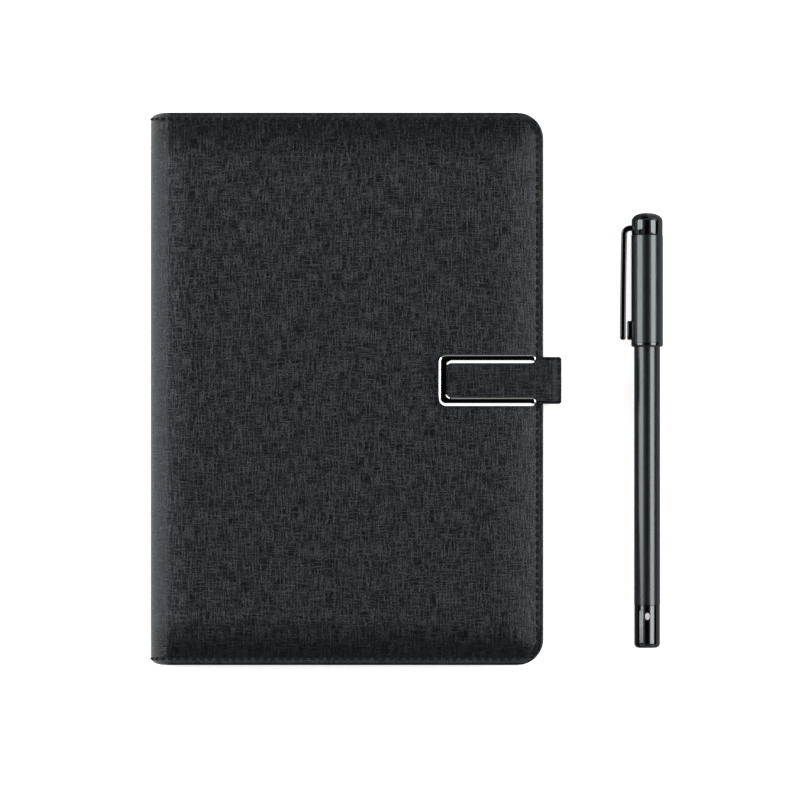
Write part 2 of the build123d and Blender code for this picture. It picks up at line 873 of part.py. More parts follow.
with BuildPart() as chassis:
    with BuildSketch(pen_section(circuit_back)):
        Circle(chassis_radius)
        Circle(chassis_bore / 2, mode=Mode.SUBTRACT)
    extrude(amount=circuit_length)
    with BuildSketch(Plane.XY.offset(pen_z + circuit_height)):
        with Locations((pen_x, (circuit_front + circuit_back) / 2)):
            Rectangle(cap_diameter, circuit_length)
    extrude(amount=cap_radius, mode=Mode.SUBTRACT)
    with BuildSketch(Plane.XY.offset(pen_z)):
        with Locations((pen_x, (circuit_front + circuit_back) / 2)):
            Rectangle(chassis_bore, circuit_length)
    extrude(amount=cap_radius, mode=Mode.SUBTRACT)
chassis.part.label = "chassis"

with BuildPart() as circuit_board:
    with BuildSketch(Plane.XY.offset(pen_z + circuit_height)):
        with Locations((pen_x, (circuit_front + circuit_back) / 2)):
            Rectangle(board_width, circuit_length)
    extrude(amount=circuit_thick)
circuit_board.part.label = "circuit_board"

with BuildPart() as force_sensor:
    with BuildSketch(pen_section(sensor_front - sensor_thick)):
        Circle(sensor_diameter / 2)
    extrude(amount=sensor_thick)
force_sensor.part.label = "force_sensor"

with BuildPart() as refill_tube:
    with BuildSketch(pen_section(refill_back)):
        Circle(refill_radius)
    extrude(amount=refill_front - refill_back)
refill_tube.part.label = "refill_tube"

with BuildPart() as refill_tip:
    ball_radius = ball_diameter / 2
    revolve(
        turned(
            [
                (0, refill_front),
                (refill_radius, refill_front),
                (refill_radius, nose_tip - refill_play),
                (ball_radius, pen_point - ball_radius),
                (0, pen_point),
            ]
        ),
        axis=pen_axis,
    )
refill_tip.part.label = "refill_tip"

with BuildPart() as refill_holder:
    revolve(
        turned(
            [
                (0, refill_back - holder_wall),
                (holder_radius, refill_back - holder_wall),
                (holder_radius, refill_back - holder_wall + holder_length),
                (refill_radius, refill_back - holder_wall + holder_length),
                (refill_radius, refill_back),
                (0, refill_back),
            ]
        ),
        axis=pen_axis,
    )
refill_holder.part.label = "refill_holder"

# Pen cap
with BuildPart() as cap_sleeve:
    revolve(
        turned(
            [
                (cap_bore, sleeve_mouth),
                (cap_radius, sleeve_mouth),
                (cap_radius, finial_seam - seam_relief),
                (cap_radius - seam_relief, finial_seam),
                (cap_bore, finial_seam),
            ]
        ),
        axis=pen_axis,
    )
cap_sleeve.part.label = "cap_sleeve"

with BuildPart() as cap_mouth_ring:
    mouth_bore = barrel_radius + cap_play
    revolve(
        turned(
            [
                (mouth_bore, sleeve_mouth),
                (cap_radius, sleeve_mouth),
                *rounded_edge(
                    cap_radius, cap_mouth + mouth_lip, mouth_lip, -mouth_lip, 1.0, lip_steps
                ),
                (mouth_bore, cap_mouth),
            ]
        ),
        axis=pen_axis,
    )
cap_mouth_ring.part.label = "cap_mouth_ring"

with BuildPart() as cap_finial:
    dome_y = pen_top - dome_height
    revolve(
        turned(
            [
                (0, finial_seam - plug_length),
                (cap_bore - plug_play, finial_seam - plug_length),
                (cap_bore - plug_play, finial_seam),
                (finial_radius - seam_relief, finial_seam),
                (finial_radius, finial_seam + seam_relief),
                *rounded_edge(
                    finial_radius, dome_y, finial_radius, dome_height, dome_squareness, dome_steps
                ),
            ]
        ),
        axis=pen_axis,
    )
    clip_root_y = clip_top - clip_root_height / 2
    with BuildSketch(Plane(origin=(pen_x, clip_root_y, pen_z), z_dir=(0, 0, 1))):
        with Locations((-finial_radius, 0)):
            Rectangle(2 * (clip_bury + clip_play), clip_root_height + 2 * clip_play)
    extrude(amount=clip_width / 2 + clip_play, both=True, mode=Mode.SUBTRACT)
cap_finial.part.label = "cap_finial"

with BuildPart() as cap_liner:
    liner_back = finial_seam - plug_length
    liner_front = nose_shoulder + nose_cone / 2
    liner_radius = cap_bore - plug_play
    revolve(
        turned(
            [
                (0, liner_back),
                (liner_radius, liner_back),
                (liner_radius, liner_front),
                (liner_bore, liner_front),
                (liner_bore, liner_back - cap_wall),
                (0, liner_back - cap_wall),
            ]
        ),
        axis=pen_axis,
    )
cap_liner.part.label = "cap_liner"

with BuildPart() as clip:
    top_out = -cap_radius - clip_stand_top
    end_out = -cap_radius - clip_stand_end
    with BuildSketch(pen_plane) as clip_side:
        with BuildLine():
            Polyline(
                (-finial_radius + clip_bury, clip_top),
                (top_out, clip_top),
                (end_out, clip_end),
                (end_out + clip_thick, clip_end),
                (top_out + clip_thick, clip_top - clip_root_height),
                (-finial_radius + clip_bury, clip_top - clip_root_height),
                close=True,
            )
        make_face()
        fillet(clip_side.vertices().sort_by_distance((pen_x + top_out, clip_top, pen_z))[0], clip_bend)
    extrude(amount=clip_width / 2, both=True)
    long_edges = clip.faces().filter_by(Axis.Z).edges().filter_by(GeomType.LINE)
    outer_edges = long_edges.filter_by(lambda edge: edge.length > grip_pad_length)
    chamfer(outer_edges, length=clip_edge)
clip.part.label = "clip"

with BuildPart() as grip_pad:
    with BuildSketch(pen_section(clip_end)):
        with Locations((-cap_radius, 0)):
            RectangleRounded(2 * grip_pad_height, grip_pad_width, grip_pad_round)
        Circle(cap_radius, mode=Mode.SUBTRACT)
    extrude(amount=grip_pad_length)
grip_pad.part.label = "grip_pad"

pieces = (
    front_cover_skin,
    front_cover_foam,
    front_cover_board,
    front_keeper_plate,
    front_cover_lining,
    front_pocket,
    card_slots,
    spine_skin,
    spine_foam,
    spine_board,
    spine_lining,
    back_cover_skin,
    back_cover_board,
    back_cover_lining,
    back_sleeve,
    back_card,
    back_leaves,
    back_binding,
    front_leaves,
    front_card,
    front_binding,
    strap_anchor,
    strap_riser,
    strap_flap,
    strap_flap_lining,
    strap_magnet,
    buckle_frame,
    pen_barrel,
    tail_cap,
    led_light_pipe,
    tail_board,
    socket_shell,
    socket_tongue,
    battery,
    nose_section,
    camera_window,
    camera_module,
    chassis,
    circuit_board,
    force_sensor,
    refill_tube,
    refill_tip,
    refill_holder,
    cap_sleeve,
    cap_mouth_ring,
    cap_finial,
    cap_liner,
    clip,
    grip_pad,
)
for piece in pieces:
    export_step(piece.part, f"parts/{piece.part.label}.step")
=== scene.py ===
"""Looks of the digital writing notebook: linen leather folio, metal frame and capped pen.

Lengths that are written in millimetres are turned into metres by the constant MM.
"""

import bisect
import json
import math
import random

import bmesh
import bpy
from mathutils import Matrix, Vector


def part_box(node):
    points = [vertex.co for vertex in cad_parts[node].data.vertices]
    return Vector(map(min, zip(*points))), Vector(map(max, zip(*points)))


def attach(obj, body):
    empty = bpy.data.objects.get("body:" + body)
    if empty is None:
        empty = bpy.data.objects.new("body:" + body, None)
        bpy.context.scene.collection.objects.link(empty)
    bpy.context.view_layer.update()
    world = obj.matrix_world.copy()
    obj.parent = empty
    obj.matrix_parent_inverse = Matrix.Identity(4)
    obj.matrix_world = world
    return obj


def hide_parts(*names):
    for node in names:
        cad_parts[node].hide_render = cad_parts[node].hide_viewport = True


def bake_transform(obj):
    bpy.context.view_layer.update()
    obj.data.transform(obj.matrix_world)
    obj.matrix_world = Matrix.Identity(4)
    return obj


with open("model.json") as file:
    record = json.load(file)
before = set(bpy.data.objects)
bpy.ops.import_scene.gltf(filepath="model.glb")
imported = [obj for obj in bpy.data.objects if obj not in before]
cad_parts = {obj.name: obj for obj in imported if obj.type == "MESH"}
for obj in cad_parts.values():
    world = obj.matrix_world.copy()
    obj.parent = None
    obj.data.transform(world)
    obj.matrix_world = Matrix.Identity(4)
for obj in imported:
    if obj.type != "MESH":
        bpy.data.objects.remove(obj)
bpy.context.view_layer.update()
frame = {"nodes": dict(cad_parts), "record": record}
scene = bpy.context.scene

MM = 0.001
random.seed(7)

# Sizes of the folio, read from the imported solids
skin_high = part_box("front_cover_skin")[1]
FOLIO_TOP = skin_high[2]
FORE_X = skin_high[0]
SPINE_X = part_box("spine_skin")[0][0]
HALF_LENGTH = skin_high[1]
FRONT_LINING_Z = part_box("front_cover_lining")[1][2]
BACK_LINING_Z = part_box("back_cover_lining")[0][2]

# Shape of the leather
BEND = 8.0 * MM
BEND_X = SPINE_X + BEND
BEND_Z = FOLIO_TOP - BEND
FORE_CORNER = 10.3 * MM
CORNER_X = FORE_X - FORE_CORNER
CORNER_Y = HALF_LENGTH - FORE_CORNER
SPINE_CORNER = 2.8 * MM
SPINE_CORNER_DEPTH = 4.8 * MM
EDGE_ROUND = 0.6 * MM
UNDER_ROUND = 0.5 * MM
BORDER_WIDTH = 3.4 * MM
BORDER_DROP = 1.5 * MM
PAD_SLOPE = 18.5 * MM
STITCH_INSET = 2.45 * MM
GROOVE_DEPTH = 0.16 * MM
GROOVE_WIDTH = 0.6 * MM
SPINE_RIM = 3.0 * MM
RIM_TURN_IN = 3.0 * MM
STITCH_PITCH = 3.12 * MM
STITCH_RISE = 0.12 * MM


def placed(name, data):
    """Makes an object of its data and puts it in the scene."""
    piece = bpy.data.objects.new(name, data)
    scene.collection.objects.link(piece)
    return piece


def mesh_piece(name, points, faces, uvs=None, smooth=True):
    """Makes a mesh object from points in metres; uvs holds one pair for each point."""
    mesh = bpy.data.meshes.new(name)
    mesh.from_pydata([tuple(p) for p in points], [], faces)
    if uvs is not None:
        layer = mesh.uv_layers.new(name="UVMap")
        for loop in mesh.loops:
            layer.data[loop.index].uv = uvs[loop.vertex_index]
    mesh.polygons.foreach_set("use_smooth", [smooth] * len(mesh.polygons))
    mesh.update()
    return placed(name, mesh)


def turned_out(piece, weld=0.0, fill=False, sharp=None):
    """Turns all faces outwards.

    Before that, weld joins points that lie nearer than it, and fill closes open ends. After it,
    edges whose faces meet at more than sharp degrees are shaded as hard edges.
    """
    work = bmesh.new()
    work.from_mesh(piece.data)
    if weld:
        bmesh.ops.remove_doubles(work, verts=work.verts, dist=weld)
    if fill:
        rims = [edge for edge in work.edges if edge.is_boundary]
        bmesh.ops.holes_fill(work, edges=rims, sides=0)
        bmesh.ops.triangulate(work, faces=[face for face in work.faces if len(face.verts) > 4])
    bmesh.ops.recalc_face_normals(work, faces=work.faces)
    if sharp is not None:
        for edge in work.edges:
            edge.smooth = edge.calc_face_angle(0.0) <= math.radians(sharp)
    work.to_mesh(piece.data)
    work.free()
    return piece


def grid_faces(rows, columns, first=0, closed=False):
    """Quads of a grid of points stored row by row; closed joins the last column to the first."""
    faces = []
    for near in range(first, first + (rows - 1) * columns, columns):
        far = near + columns
        for column in range(columns if closed else columns - 1):
            after = (column + 1) % columns
            faces.append((near + column, near + after, far + after, far + column))
    return faces


X_AXIS = Vector((1, 0, 0))
Y_AXIS = Vector((0, 1, 0))
Z_AXIS = Vector((0, 0, 1))


def spaced(start, stop, steps):
    """Evenly spaced values from start to stop, with both."""
    return [start + (stop - start) * k / steps for k in range(steps + 1)]


def held(value, top=1.0):
    """Holds a value between 0 and a top."""
    return min(max(value, 0.0), top)


def smoothstep(t):
    """Eases from 0 to 1 as t goes from 0 to 1."""
    t = held(t)
    return t * t * (3 - 2 * t)


def rounded_section(half_width, half_height, edge, steps, top_shares=()):
    """Closed outline of a bar with rounded edges; top_shares puts more points on its top."""
    ring = []
    for side_x, side_z, start in ((1, 1, 0), (-1, 1, 90), (-1, -1, 180), (1, -1, 270)):
        for angle in map(math.radians, spaced(start, start + 90, steps)):
            x = side_x * (half_width - edge) + edge * math.cos(angle)
            z = side_z * (half_height - edge) + edge * math.sin(angle)
            ring.append((x, z))
        if start == 0:
            ring += [(share * half_width, half_height) for share in top_shares]
    return ring


def swept(name, points, count, uvs=None):
    """Closed piece from rings of count points each, with a flat face on both ends."""
    faces = grid_faces(len(points) // count, count, closed=True)
    faces.append(tuple(range(count)))
    faces.append(tuple(reversed(range(len(points) - count, len(points)))))
    return turned_out(mesh_piece(name, points, faces, uvs))


# Node materials


class Maker:
    """Builds one procedural material with short calls."""

    def __init__(self, name):
        self.material = bpy.data.materials.new(name)
        self.material.use_nodes = True
        self.tree = self.material.node_tree
        self.shader = self.tree.nodes["Principled BSDF"]

    def put(self, value, socket):
        """Links an output to a socket, or sets the socket to a plain value."""
        if isinstance(value, bpy.types.NodeSocket):
            self.tree.links.new(value, socket)
        else:
            socket.default_value = value

    def add(self, kind, inputs=None, **settings):
        """Adds a node; settings name its own properties and inputs fill its sockets."""
        node = self.tree.nodes.new("ShaderNode" + kind)
        for key, value in settings.items():
            setattr(node, key, value)
        for key, value in (inputs or {}).items():
            self.put(value, node.inputs[key])
        return node

    def set(self, **values):
        """Fills the shader's own sockets, named with underscores for spaces."""
        for key, value in values.items():
            self.put(value, self.shader.inputs[key.replace("_", " ")])

    def coordinates(self, source, scale=(1, 1, 1), shift=0.0):
        """Texture coordinates, scaled on each axis and shifted."""
        place = self.add("TexCoord").outputs[source]
        inputs = {"Vector": place, "Location": (shift, shift, shift), "Scale": scale}
        return self.add("Mapping", inputs).outputs["Vector"]

    def split(self, vector):
        """The three parts of a vector."""
        return self.add("SeparateXYZ", {"Vector": vector}).outputs

    def noise(self, vector, scale=1.0, detail=2.0, roughness=0.5, **settings):
        """Noise between 0 and 1."""
        inputs = {"Vector": vector, "Scale": scale, "Detail": detail, "Roughness": roughness}
        return self.add("TexNoise", inputs, **settings).outputs["Fac"]

    def math(self, operation, *values):
        """One arithmetic step on values or sockets."""
        return self.add("Math", dict(enumerate(values)), operation=operation).outputs[0]

    def remap(self, value, low, high, new_low=0.0, new_high=1.0):
        """Stretches a range of values to another, held at its ends."""
        inputs = {"From Min": low, "From Max": high, "To Min": new_low, "To Max": new_high}
        return self.add("MapRange", {"Value": value, **inputs}).outputs["Result"]

    def mix(self, factor, first, second, **settings):
        """Mixes two colours by a value; each colour is a triple or a socket."""
        first, second = ((*c, 1) if isinstance(c, tuple) else c for c in (first, second))
        inputs = {"Factor": factor, "A": first, "B": second}
        return self.add("Mix", inputs, data_type="RGBA", **settings).outputs["Result"]

    def bump(self, height, strength, distance):
        """Turns a height into a normal on the shader."""
        inputs = {"Height": height, "Strength": strength, "Distance": distance}
        self.set(Normal=self.add("Bump", inputs).outputs["Normal"])

    def shade(self, tone, dark, light, **sockets):
        """Colours the shader between two shades and fills more of its sockets."""
        self.set(Base_Color=self.mix(tone, dark, light), **sockets)


SEWN_SHADE = (0.013, 0.0135, 0.015)
# Painted shade: the slope colour darkens the slopes down to head and tail
PAINTED_SLOPE_SHADE = (0.0026, 0.0028, 0.0036)
# Painted highlight: this tint brightens the colour along the spine's bend
BEND_HIGHLIGHT_TINT = (2.2, 2.3, 2.35)
RIM_PAINT = (0.003, 0.003, 0.0034)


def linen_leather(name, dark, light, roughness, gloss, ends=None, shift=0.0):
    """Black leather cloth pressed with an irregular linen weave; uv is in metres.

    ends holds, from the uv's zero, where the sewn strip of head and tail starts, where the slope
    to them starts and stops, and where the sewn strip of the fore edge starts.
    """
    make = Maker(name)

    def pattern(across, along, detail, coarseness):
        place = make.coordinates("UV", (across, along, 1), shift)
        return make.noise(place, 1.0, detail, coarseness)

    warp = make.remap(pattern(1750, 150, 2.0, 0.6), 0.46, 0.62)
    weft = make.remap(pattern(150, 1750, 2.0, 0.6), 0.46, 0.62)
    crumbs = make.remap(pattern(1500, 1500, 3.0, 0.7), 0.36, 0.6, 0.1, 1.0)
    patches = make.remap(pattern(210, 210, 3.0, 0.6), 0.34, 0.6, 0.66, 1.0)
    broken = make.math("MULTIPLY", make.math("MAXIMUM", warp, weft), crumbs)
    relief = make.math("MULTIPLY", broken, patches)
    colour = make.mix(relief, dark, light)
    smooth = make.remap(relief, 0, 1, roughness - 0.03, roughness + 0.06)
    height = relief
    if ends:
        border, inner, outer, fore = ends
        run, reach, _ = make.split(make.add("TexCoord").outputs["UV"])
        reach = make.math("ABSOLUTE", reach)
        strip = make.math(
            "MAXIMUM",
            make.remap(reach, border - 0.3 * MM, border),
            make.remap(run, fore - 0.6 * MM, fore),
        )
        colour = make.mix(make.math("MULTIPLY", strip, 0.6), colour, SEWN_SHADE)
        # Painted shade: the slopes down to head and tail are darkened in the colour
        rise = make.remap(reach, inner, outer)
        slope = make.math("MULTIPLY", rise, make.math("LESS_THAN", reach, border))
        colour = make.mix(make.math("MULTIPLY", slope, 0.97), colour, PAINTED_SLOPE_SHADE)
        # Painted highlight: the colour is brightened along the spine's bend, less on the slopes to
        # head and tail
        bend = make.remap(run, 8.0 * MM, -3.0 * MM)
        bend_highlight = make.math("MULTIPLY", bend, make.math("SUBTRACT", 1.0, rise))
        colour = make.mix(bend_highlight, colour, BEND_HIGHLIGHT_TINT, blend_type="MULTIPLY")
        rim = make.math(
            "MAXIMUM",
            make.remap(reach, border + 1.8 * MM, border + 2.3 * MM),
            make.remap(run, fore + 2.1 * MM, fore + 2.6 * MM),
        )
        colour = make.mix(rim, colour, RIM_PAINT)
        change = make.math("MULTIPLY", slope, 0.08)
        change = make.math("SUBTRACT", make.math("MULTIPLY", bend_highlight, 0.09), change)
        smooth = make.math("ADD", smooth, make.math("MULTIPLY_ADD", rim, -0.06, change))
        rolled = make.remap(run, -1.0 * MM, -3.0 * MM)
        height = make.math("MULTIPLY", relief, make.math("MULTIPLY_ADD", rolled, 5.0, 1.0))
    make.set(
        Base_Color=colour,
        Roughness=smooth,
        Specular_IOR_Level=gloss,
        Specular_Tint=(0.9, 0.97, 1.0, 1),
    )
    make.bump(height, 0.45, 0.12 * MM)
    return make.material


def fine_grain_leather(name, dark, light, roughness=0.5):
    """Smooth lining leather with a small pebbled grain."""
    make = Maker(name)
    vector = make.coordinates("Object")
    cells = make.add("TexVoronoi", {"Vector": vector, "Scale": 1300}).outputs["Distance"]
    patches = make.noise(vector, 120, 3.0)
    rough = make.remap(patches, 0.3, 0.7, roughness, roughness + 0.12)
    make.shade(patches, dark, light, Roughness=rough)
    make.bump(make.remap(cells, 0.1, 0.6), 0.35, 0.08 * MM)
    return make.material


def satin_metal(name, dark, light, roughness, metallic, speck=0.01 * MM):
    """Painted or plated metal with a faint orange-peel relief and uneven gloss."""
    make = Maker(name)
    vector = make.coordinates("Object")
    broad = make.noise(vector, 160, 3.0)
    rough = make.remap(broad, 0.3, 0.7, roughness * 0.93, roughness * 1.07)
    make.shade(broad, dark, light, Roughness=rough, Metallic=metallic)
    make.bump(make.noise(vector, 5200, 2.0), 0.25, speck)
    return make.material


def gloss_plastic(name, dark, light, roughness=0.06):
    """Polished plastic with faint swirls in its gloss."""
    make = Maker(name)
    swirls = make.noise(make.coordinates("Object"), 420, 4.0, 0.6)
    rough = make.remap(swirls, 0.35, 0.7, roughness, roughness + 0.05)
    make.shade(swirls, dark, light, Roughness=rough, Specular_IOR_Level=0.55)
    return make.material


def matte_plastic(name, dark, light, roughness=0.5):
    """Moulded plastic with a fine spark-eroded grain."""
    make = Maker(name)
    vector = make.coordinates("Object")
    grain = make.noise(vector, 3600, 3.0)
    rough = make.remap(grain, 0.3, 0.7, roughness - 0.06, roughness + 0.06)
    make.shade(make.noise(vector, 240, 2.0), dark, light, Roughness=rough)
    make.bump(grain, 0.3, 0.02 * MM)
    return make.material


def thread(name, dark, light):
    """Sewing thread with a fine fuzz."""
    make = Maker(name)
    fuzz = make.noise(make.coordinates("Object"), 7000, 3.0)
    make.shade(fuzz, dark, light, Roughness=0.8, Specular_IOR_Level=0.2)
    make.bump(fuzz, 0.5, 0.05 * MM)
    return make.material


def paper(name):
    """Leaf block: fine leaf edges on its sides and a pale dot grid on its faces."""
    make = Maker(name)
    place = make.add("TexCoord").outputs
    x, y, z = make.split(place["Object"])
    facing = make.math("ABSOLUTE", make.split(place["Normal"])["Z"])
    flat = make.math("GREATER_THAN", facing, 0.7)

    leaf_pitch = 0.1 * MM
    leaf = make.math("MULTIPLY", z, 1 / leaf_pitch)
    along = make.math("MULTIPLY", make.math("ADD", x, y), 12.0)
    layer = make.add("CombineXYZ", {"X": leaf, "Y": along}).outputs["Vector"]
    edge = make.remap(make.noise(layer, noise_dimensions="2D"), 0.3, 0.7)
    edge_mask = make.math("MULTIPLY", make.math("SUBTRACT", 1.0, flat), edge)

    dot_pitch = 5.0 * MM
    squares = []
    for part in (x, y):
        off = make.math("PINGPONG", part, dot_pitch / 2)
        off = make.math("SUBTRACT", off, dot_pitch / 4)
        squares.append(make.math("MULTIPLY", off, off))
    dot = make.math("LESS_THAN", make.math("ADD", *squares), (0.22 * MM) ** 2)

    fibres = make.noise(make.coordinates("Object"), 900, 4.0)
    colour = make.mix(fibres, (0.84, 0.83, 0.79), (0.90, 0.89, 0.86))
    colour = make.mix(edge_mask, colour, (0.62, 0.61, 0.58), blend_type="MULTIPLY")
    colour = make.mix(make.math("MULTIPLY", dot, flat), colour, (0.45, 0.46, 0.48))
    make.set(Base_Color=colour, Roughness=0.75)
    make.bump(edge_mask, 0.5, 0.06 * MM)
    return make.material


def fibre_board(name, dark, light):
    """Grey board or card with short fibres."""
    make = Maker(name)
    fibres = make.noise(make.coordinates("Object", (300, 900, 900)), 1.0, 4.0, 0.7)
    make.shade(fibres, dark, light, Roughness=0.8)
    make.bump(fibres, 0.4, 0.05 * MM)
    return make.material


LEATHER_DARK = (0.0008, 0.0009, 0.0018)
LEATHER_LIGHT = (0.0370, 0.0395, 0.0490)
LEATHER_ENDS = (
    HALF_LENGTH - 2.9 * MM,
    HALF_LENGTH - 19 * MM,
    HALF_LENGTH - 6 * MM,
    FORE_X - BEND_X - 3.2 * MM,
)
LEATHER_LOOK = (LEATHER_DARK, LEATHER_LIGHT, 0.36, 0.5, LEATHER_ENDS)
LEATHER = linen_leather("linen_leather", *LEATHER_LOOK)
BACK_LEATHER = linen_leather("back_linen_leather", *LEATHER_LOOK, shift=37.0)
STRAP_LEATHER = linen_leather(
    "strap_leather", (0.0004, 0.0005, 0.0010), (0.0420, 0.0450, 0.0540), 0.52, 0.22
)
THREAD = thread("black_thread", (0.002, 0.002, 0.0024), (0.010, 0.010, 0.012))
FRAME_METAL = satin_metal(
    "black_nickel", (0.70, 0.70, 0.71), (0.76, 0.76, 0.77), 0.05, 1.0, 0.002 * MM
)
STEEL = satin_metal("steel", (0.50, 0.50, 0.51), (0.60, 0.60, 0.61), 0.28, 1.0)
LIGHT_PIPE = matte_plastic("white_diffuser", (0.50, 0.50, 0.52), (0.58, 0.58, 0.60), 0.35)
PEN_PAINT = satin_metal("pen_paint", (0.0050, 0.0070, 0.0090), (0.0062, 0.0084, 0.0106), 0.24, 0.0)
PEN_GLOSS = gloss_plastic("pen_gloss", (0.0008, 0.0010, 0.0012), (0.0016, 0.0018, 0.0020))
for lacquer in (PEN_PAINT, PEN_GLOSS):
    lacquer_shader = lacquer.node_tree.nodes["Principled BSDF"]
    lacquer_shader.inputs["IOR"].default_value = 1.72
    lacquer_shader.inputs["Specular Tint"].default_value = (0.88, 0.97, 1.0, 1)

# Material of each slot; all but the first few stay inside the folio and the pen
NODE_MATERIALS = {
    "cover_leather": LEATHER,
    "black_nickel": FRAME_METAL,
    "pen_body": PEN_PAINT,
    "pen_gloss": PEN_GLOSS,
    "light_pipe": LIGHT_PIPE,
    "steel_plate": STEEL,
    "socket_steel": STEEL,
    "tip_steel": STEEL,
    "lining_leather": fine_grain_leather(
        "lining_leather", (0.016, 0.016, 0.018), (0.030, 0.030, 0.033)
    ),
    "foam": matte_plastic("foam", (0.10, 0.10, 0.105), (0.16, 0.16, 0.165), 0.85),
    "greyboard": fibre_board("greyboard", (0.20, 0.19, 0.17), (0.34, 0.32, 0.29)),
    "paper": paper("dotted_paper"),
    "card": fibre_board("black_card", (0.020, 0.020, 0.022), (0.045, 0.045, 0.048)),
    "binding_cloth": fibre_board("binding_cloth", (0.012, 0.012, 0.014), (0.035, 0.035, 0.038)),
    "magnet": satin_metal("magnet_plate", (0.52, 0.52, 0.53), (0.62, 0.62, 0.62), 0.16, 1.0),
    "pen_plastic": matte_plastic("pen_matte", (0.018, 0.018, 0.020), (0.030, 0.030, 0.033)),
    "window": gloss_plastic("infrared_window", (0.010, 0.003, 0.005), (0.016, 0.005, 0.008), 0.04),
    "circuit": matte_plastic("circuit_resist", (0.008, 0.055, 0.025), (0.014, 0.085, 0.040), 0.35),
    "battery_wrap": matte_plastic("battery_wrap", (0.16, 0.18, 0.20), (0.21, 0.23, 0.25), 0.4),
    "refill_plastic": satin_metal(
        "refill_brass", (0.58, 0.44, 0.20), (0.68, 0.54, 0.27), 0.25, 1.0
    ),
    "rubber_pad": matte_plastic(
        "black_rubber", (0.008, 0.008, 0.008), (0.014, 0.014, 0.014), 0.65
    ),
    "sensor": matte_plastic("sensor_film", (0.26, 0.15, 0.03), (0.36, 0.22, 0.05), 0.4),
}
for subpart in frame["record"]["subparts"]:
    node_object = frame["nodes"][subpart["node"]]
    for material_slot in node_object.material_slots:
        material_slot.material = NODE_MATERIALS[subpart["material_slot"]]


def dress(piece, material):
    """Gives a piece its one material."""
    piece.data.materials.clear()
    piece.data.materials.append(material)
    return piece


# Folio leather


def edge_distance(x, y):
    """Distance from a point of the cover to its sewn edge: head, tail and fore edge."""
    along = HALF_LENGTH - abs(y)
    across = FORE_X - x
    if along < FORE_CORNER and across < FORE_CORNER:
        return FORE_CORNER - math.hypot(FORE_CORNER - along, FORE_CORNER - across)
    return min(along, across)


def border_sink(distance, drop):
    """How far the surface lies under the padded field at a distance from the edge."""
    share = held((distance - BORDER_WIDTH) / PAD_SLOPE)
    return drop * (1 - share) ** 2


def groove(distance):
    """Depth of the sewn groove at a distance from the edge."""
    return GROOVE_DEPTH * math.exp(-(((distance - STITCH_INSET) / GROOVE_WIDTH) ** 2))


# Distances in millimetres, from the end of the rim, of the close rows and columns
NEAR_ROWS = (
    1.0, 1.25, 1.5, 1.8, 2.1, 2.45, 2.8, 3.1, 3.4, 3.9,
    4.6, 5.5, 6.6, 7.9, 9.4, 11.2, 13.2, 15.5, 18.5,
)
NEAR_COLUMNS = (
    0, 0.25, 0.5, 0.8, 1.1, 1.45, 1.8, 2.1, 2.4, 2.9,
    3.6, 4.5, 5.6, 6.9, 8.4, 10.2, 12.2, 14.5, 17.5, 22,
)
NEAREST_ROWS = 0.12 * MM
MIDDLE_ROWS = 34
MIDDLE_COLUMNS = 30


def row_places():
    """Places of the rows along the cover, close together near head and tail."""
    ends = [EDGE_ROUND + (step - 1.0) * MM for step in NEAR_ROWS]
    arc = FORE_CORNER - EDGE_ROUND
    angles = [math.radians(degrees) for degrees in spaced(0, 90, 14)[:-1]]
    corner = [HALF_LENGTH - (CORNER_Y + arc * math.sin(angle)) for angle in angles]
    offsets = sorted(ends + corner)
    kept = [offsets[0]]
    for offset in offsets[1:]:
        if offset - kept[-1] > NEAREST_ROWS:
            kept.append(offset)
    inner = HALF_LENGTH - kept[-1]
    middle = spaced(-inner, inner, MIDDLE_ROWS)[1:-1]
    low = [-(HALF_LENGTH - offset) for offset in kept]
    high = [HALF_LENGTH - offset for offset in reversed(kept)]
    return low + middle + high


def fore_limit(y):
    """Where a row ends at the fore edge, inside the rounded rim."""
    arc = FORE_CORNER - EDGE_ROUND
    beyond = held(abs(y) - CORNER_Y, arc)
    return CORNER_X + math.sqrt(max(arc * arc - beyond * beyond, 0.0))


def column_places(y):
    """Places across the flat of the cover, close together near the fore edge."""
    limit = fore_limit(y)
    inner = limit - NEAR_COLUMNS[-1] * MM
    wide = [BEND_X + (inner - BEND_X) * (k / MIDDLE_COLUMNS) for k in range(MIDDLE_COLUMNS)]
    return wide + [limit - step * MM for step in reversed(NEAR_COLUMNS)]


def skin_surface(rows, drop, rim_depth):
    """Outer side of a half skin, row by row: points, normals, uvs and depths of its rim."""
    middle_z = FOLIO_TOP / 2
    flat_steps = 3
    bend_steps = 22
    samples = []
    for y in rows:
        end = HALF_LENGTH - abs(y)
        sink = border_sink(end, drop)
        for share in spaced(0.0, 1.0, flat_steps)[:-1]:
            z = middle_z + (BEND_Z - middle_z) * share - sink * share
            point = Vector((SPINE_X + groove(end), y, z))
            uv = (z - BEND_Z - BEND * math.pi / 2, y)
            samples.append((point, -X_AXIS, uv, SPINE_RIM))
        for step in range(bend_steps):
            angle = math.pi / 2 * step / bend_steps
            normal = Vector((-math.cos(angle), 0, math.sin(angle)))
            point = Vector((BEND_X, y, BEND_Z - sink)) + normal * (BEND - groove(end))
            uv = (BEND * (angle - math.pi / 2), y)
            depth = SPINE_RIM + (rim_depth - SPINE_RIM) * smoothstep(step / bend_steps)
            samples.append((point, normal, uv, depth))
        for x in column_places(y):
            distance = edge_distance(x, y)
            z = FOLIO_TOP - border_sink(distance, drop) - groove(distance)
            uv = (x - BEND_X, y)
            samples.append((Vector((x, y, z)), Z_AXIS, uv, rim_depth))
    return [list(kind) for kind in zip(*samples)]


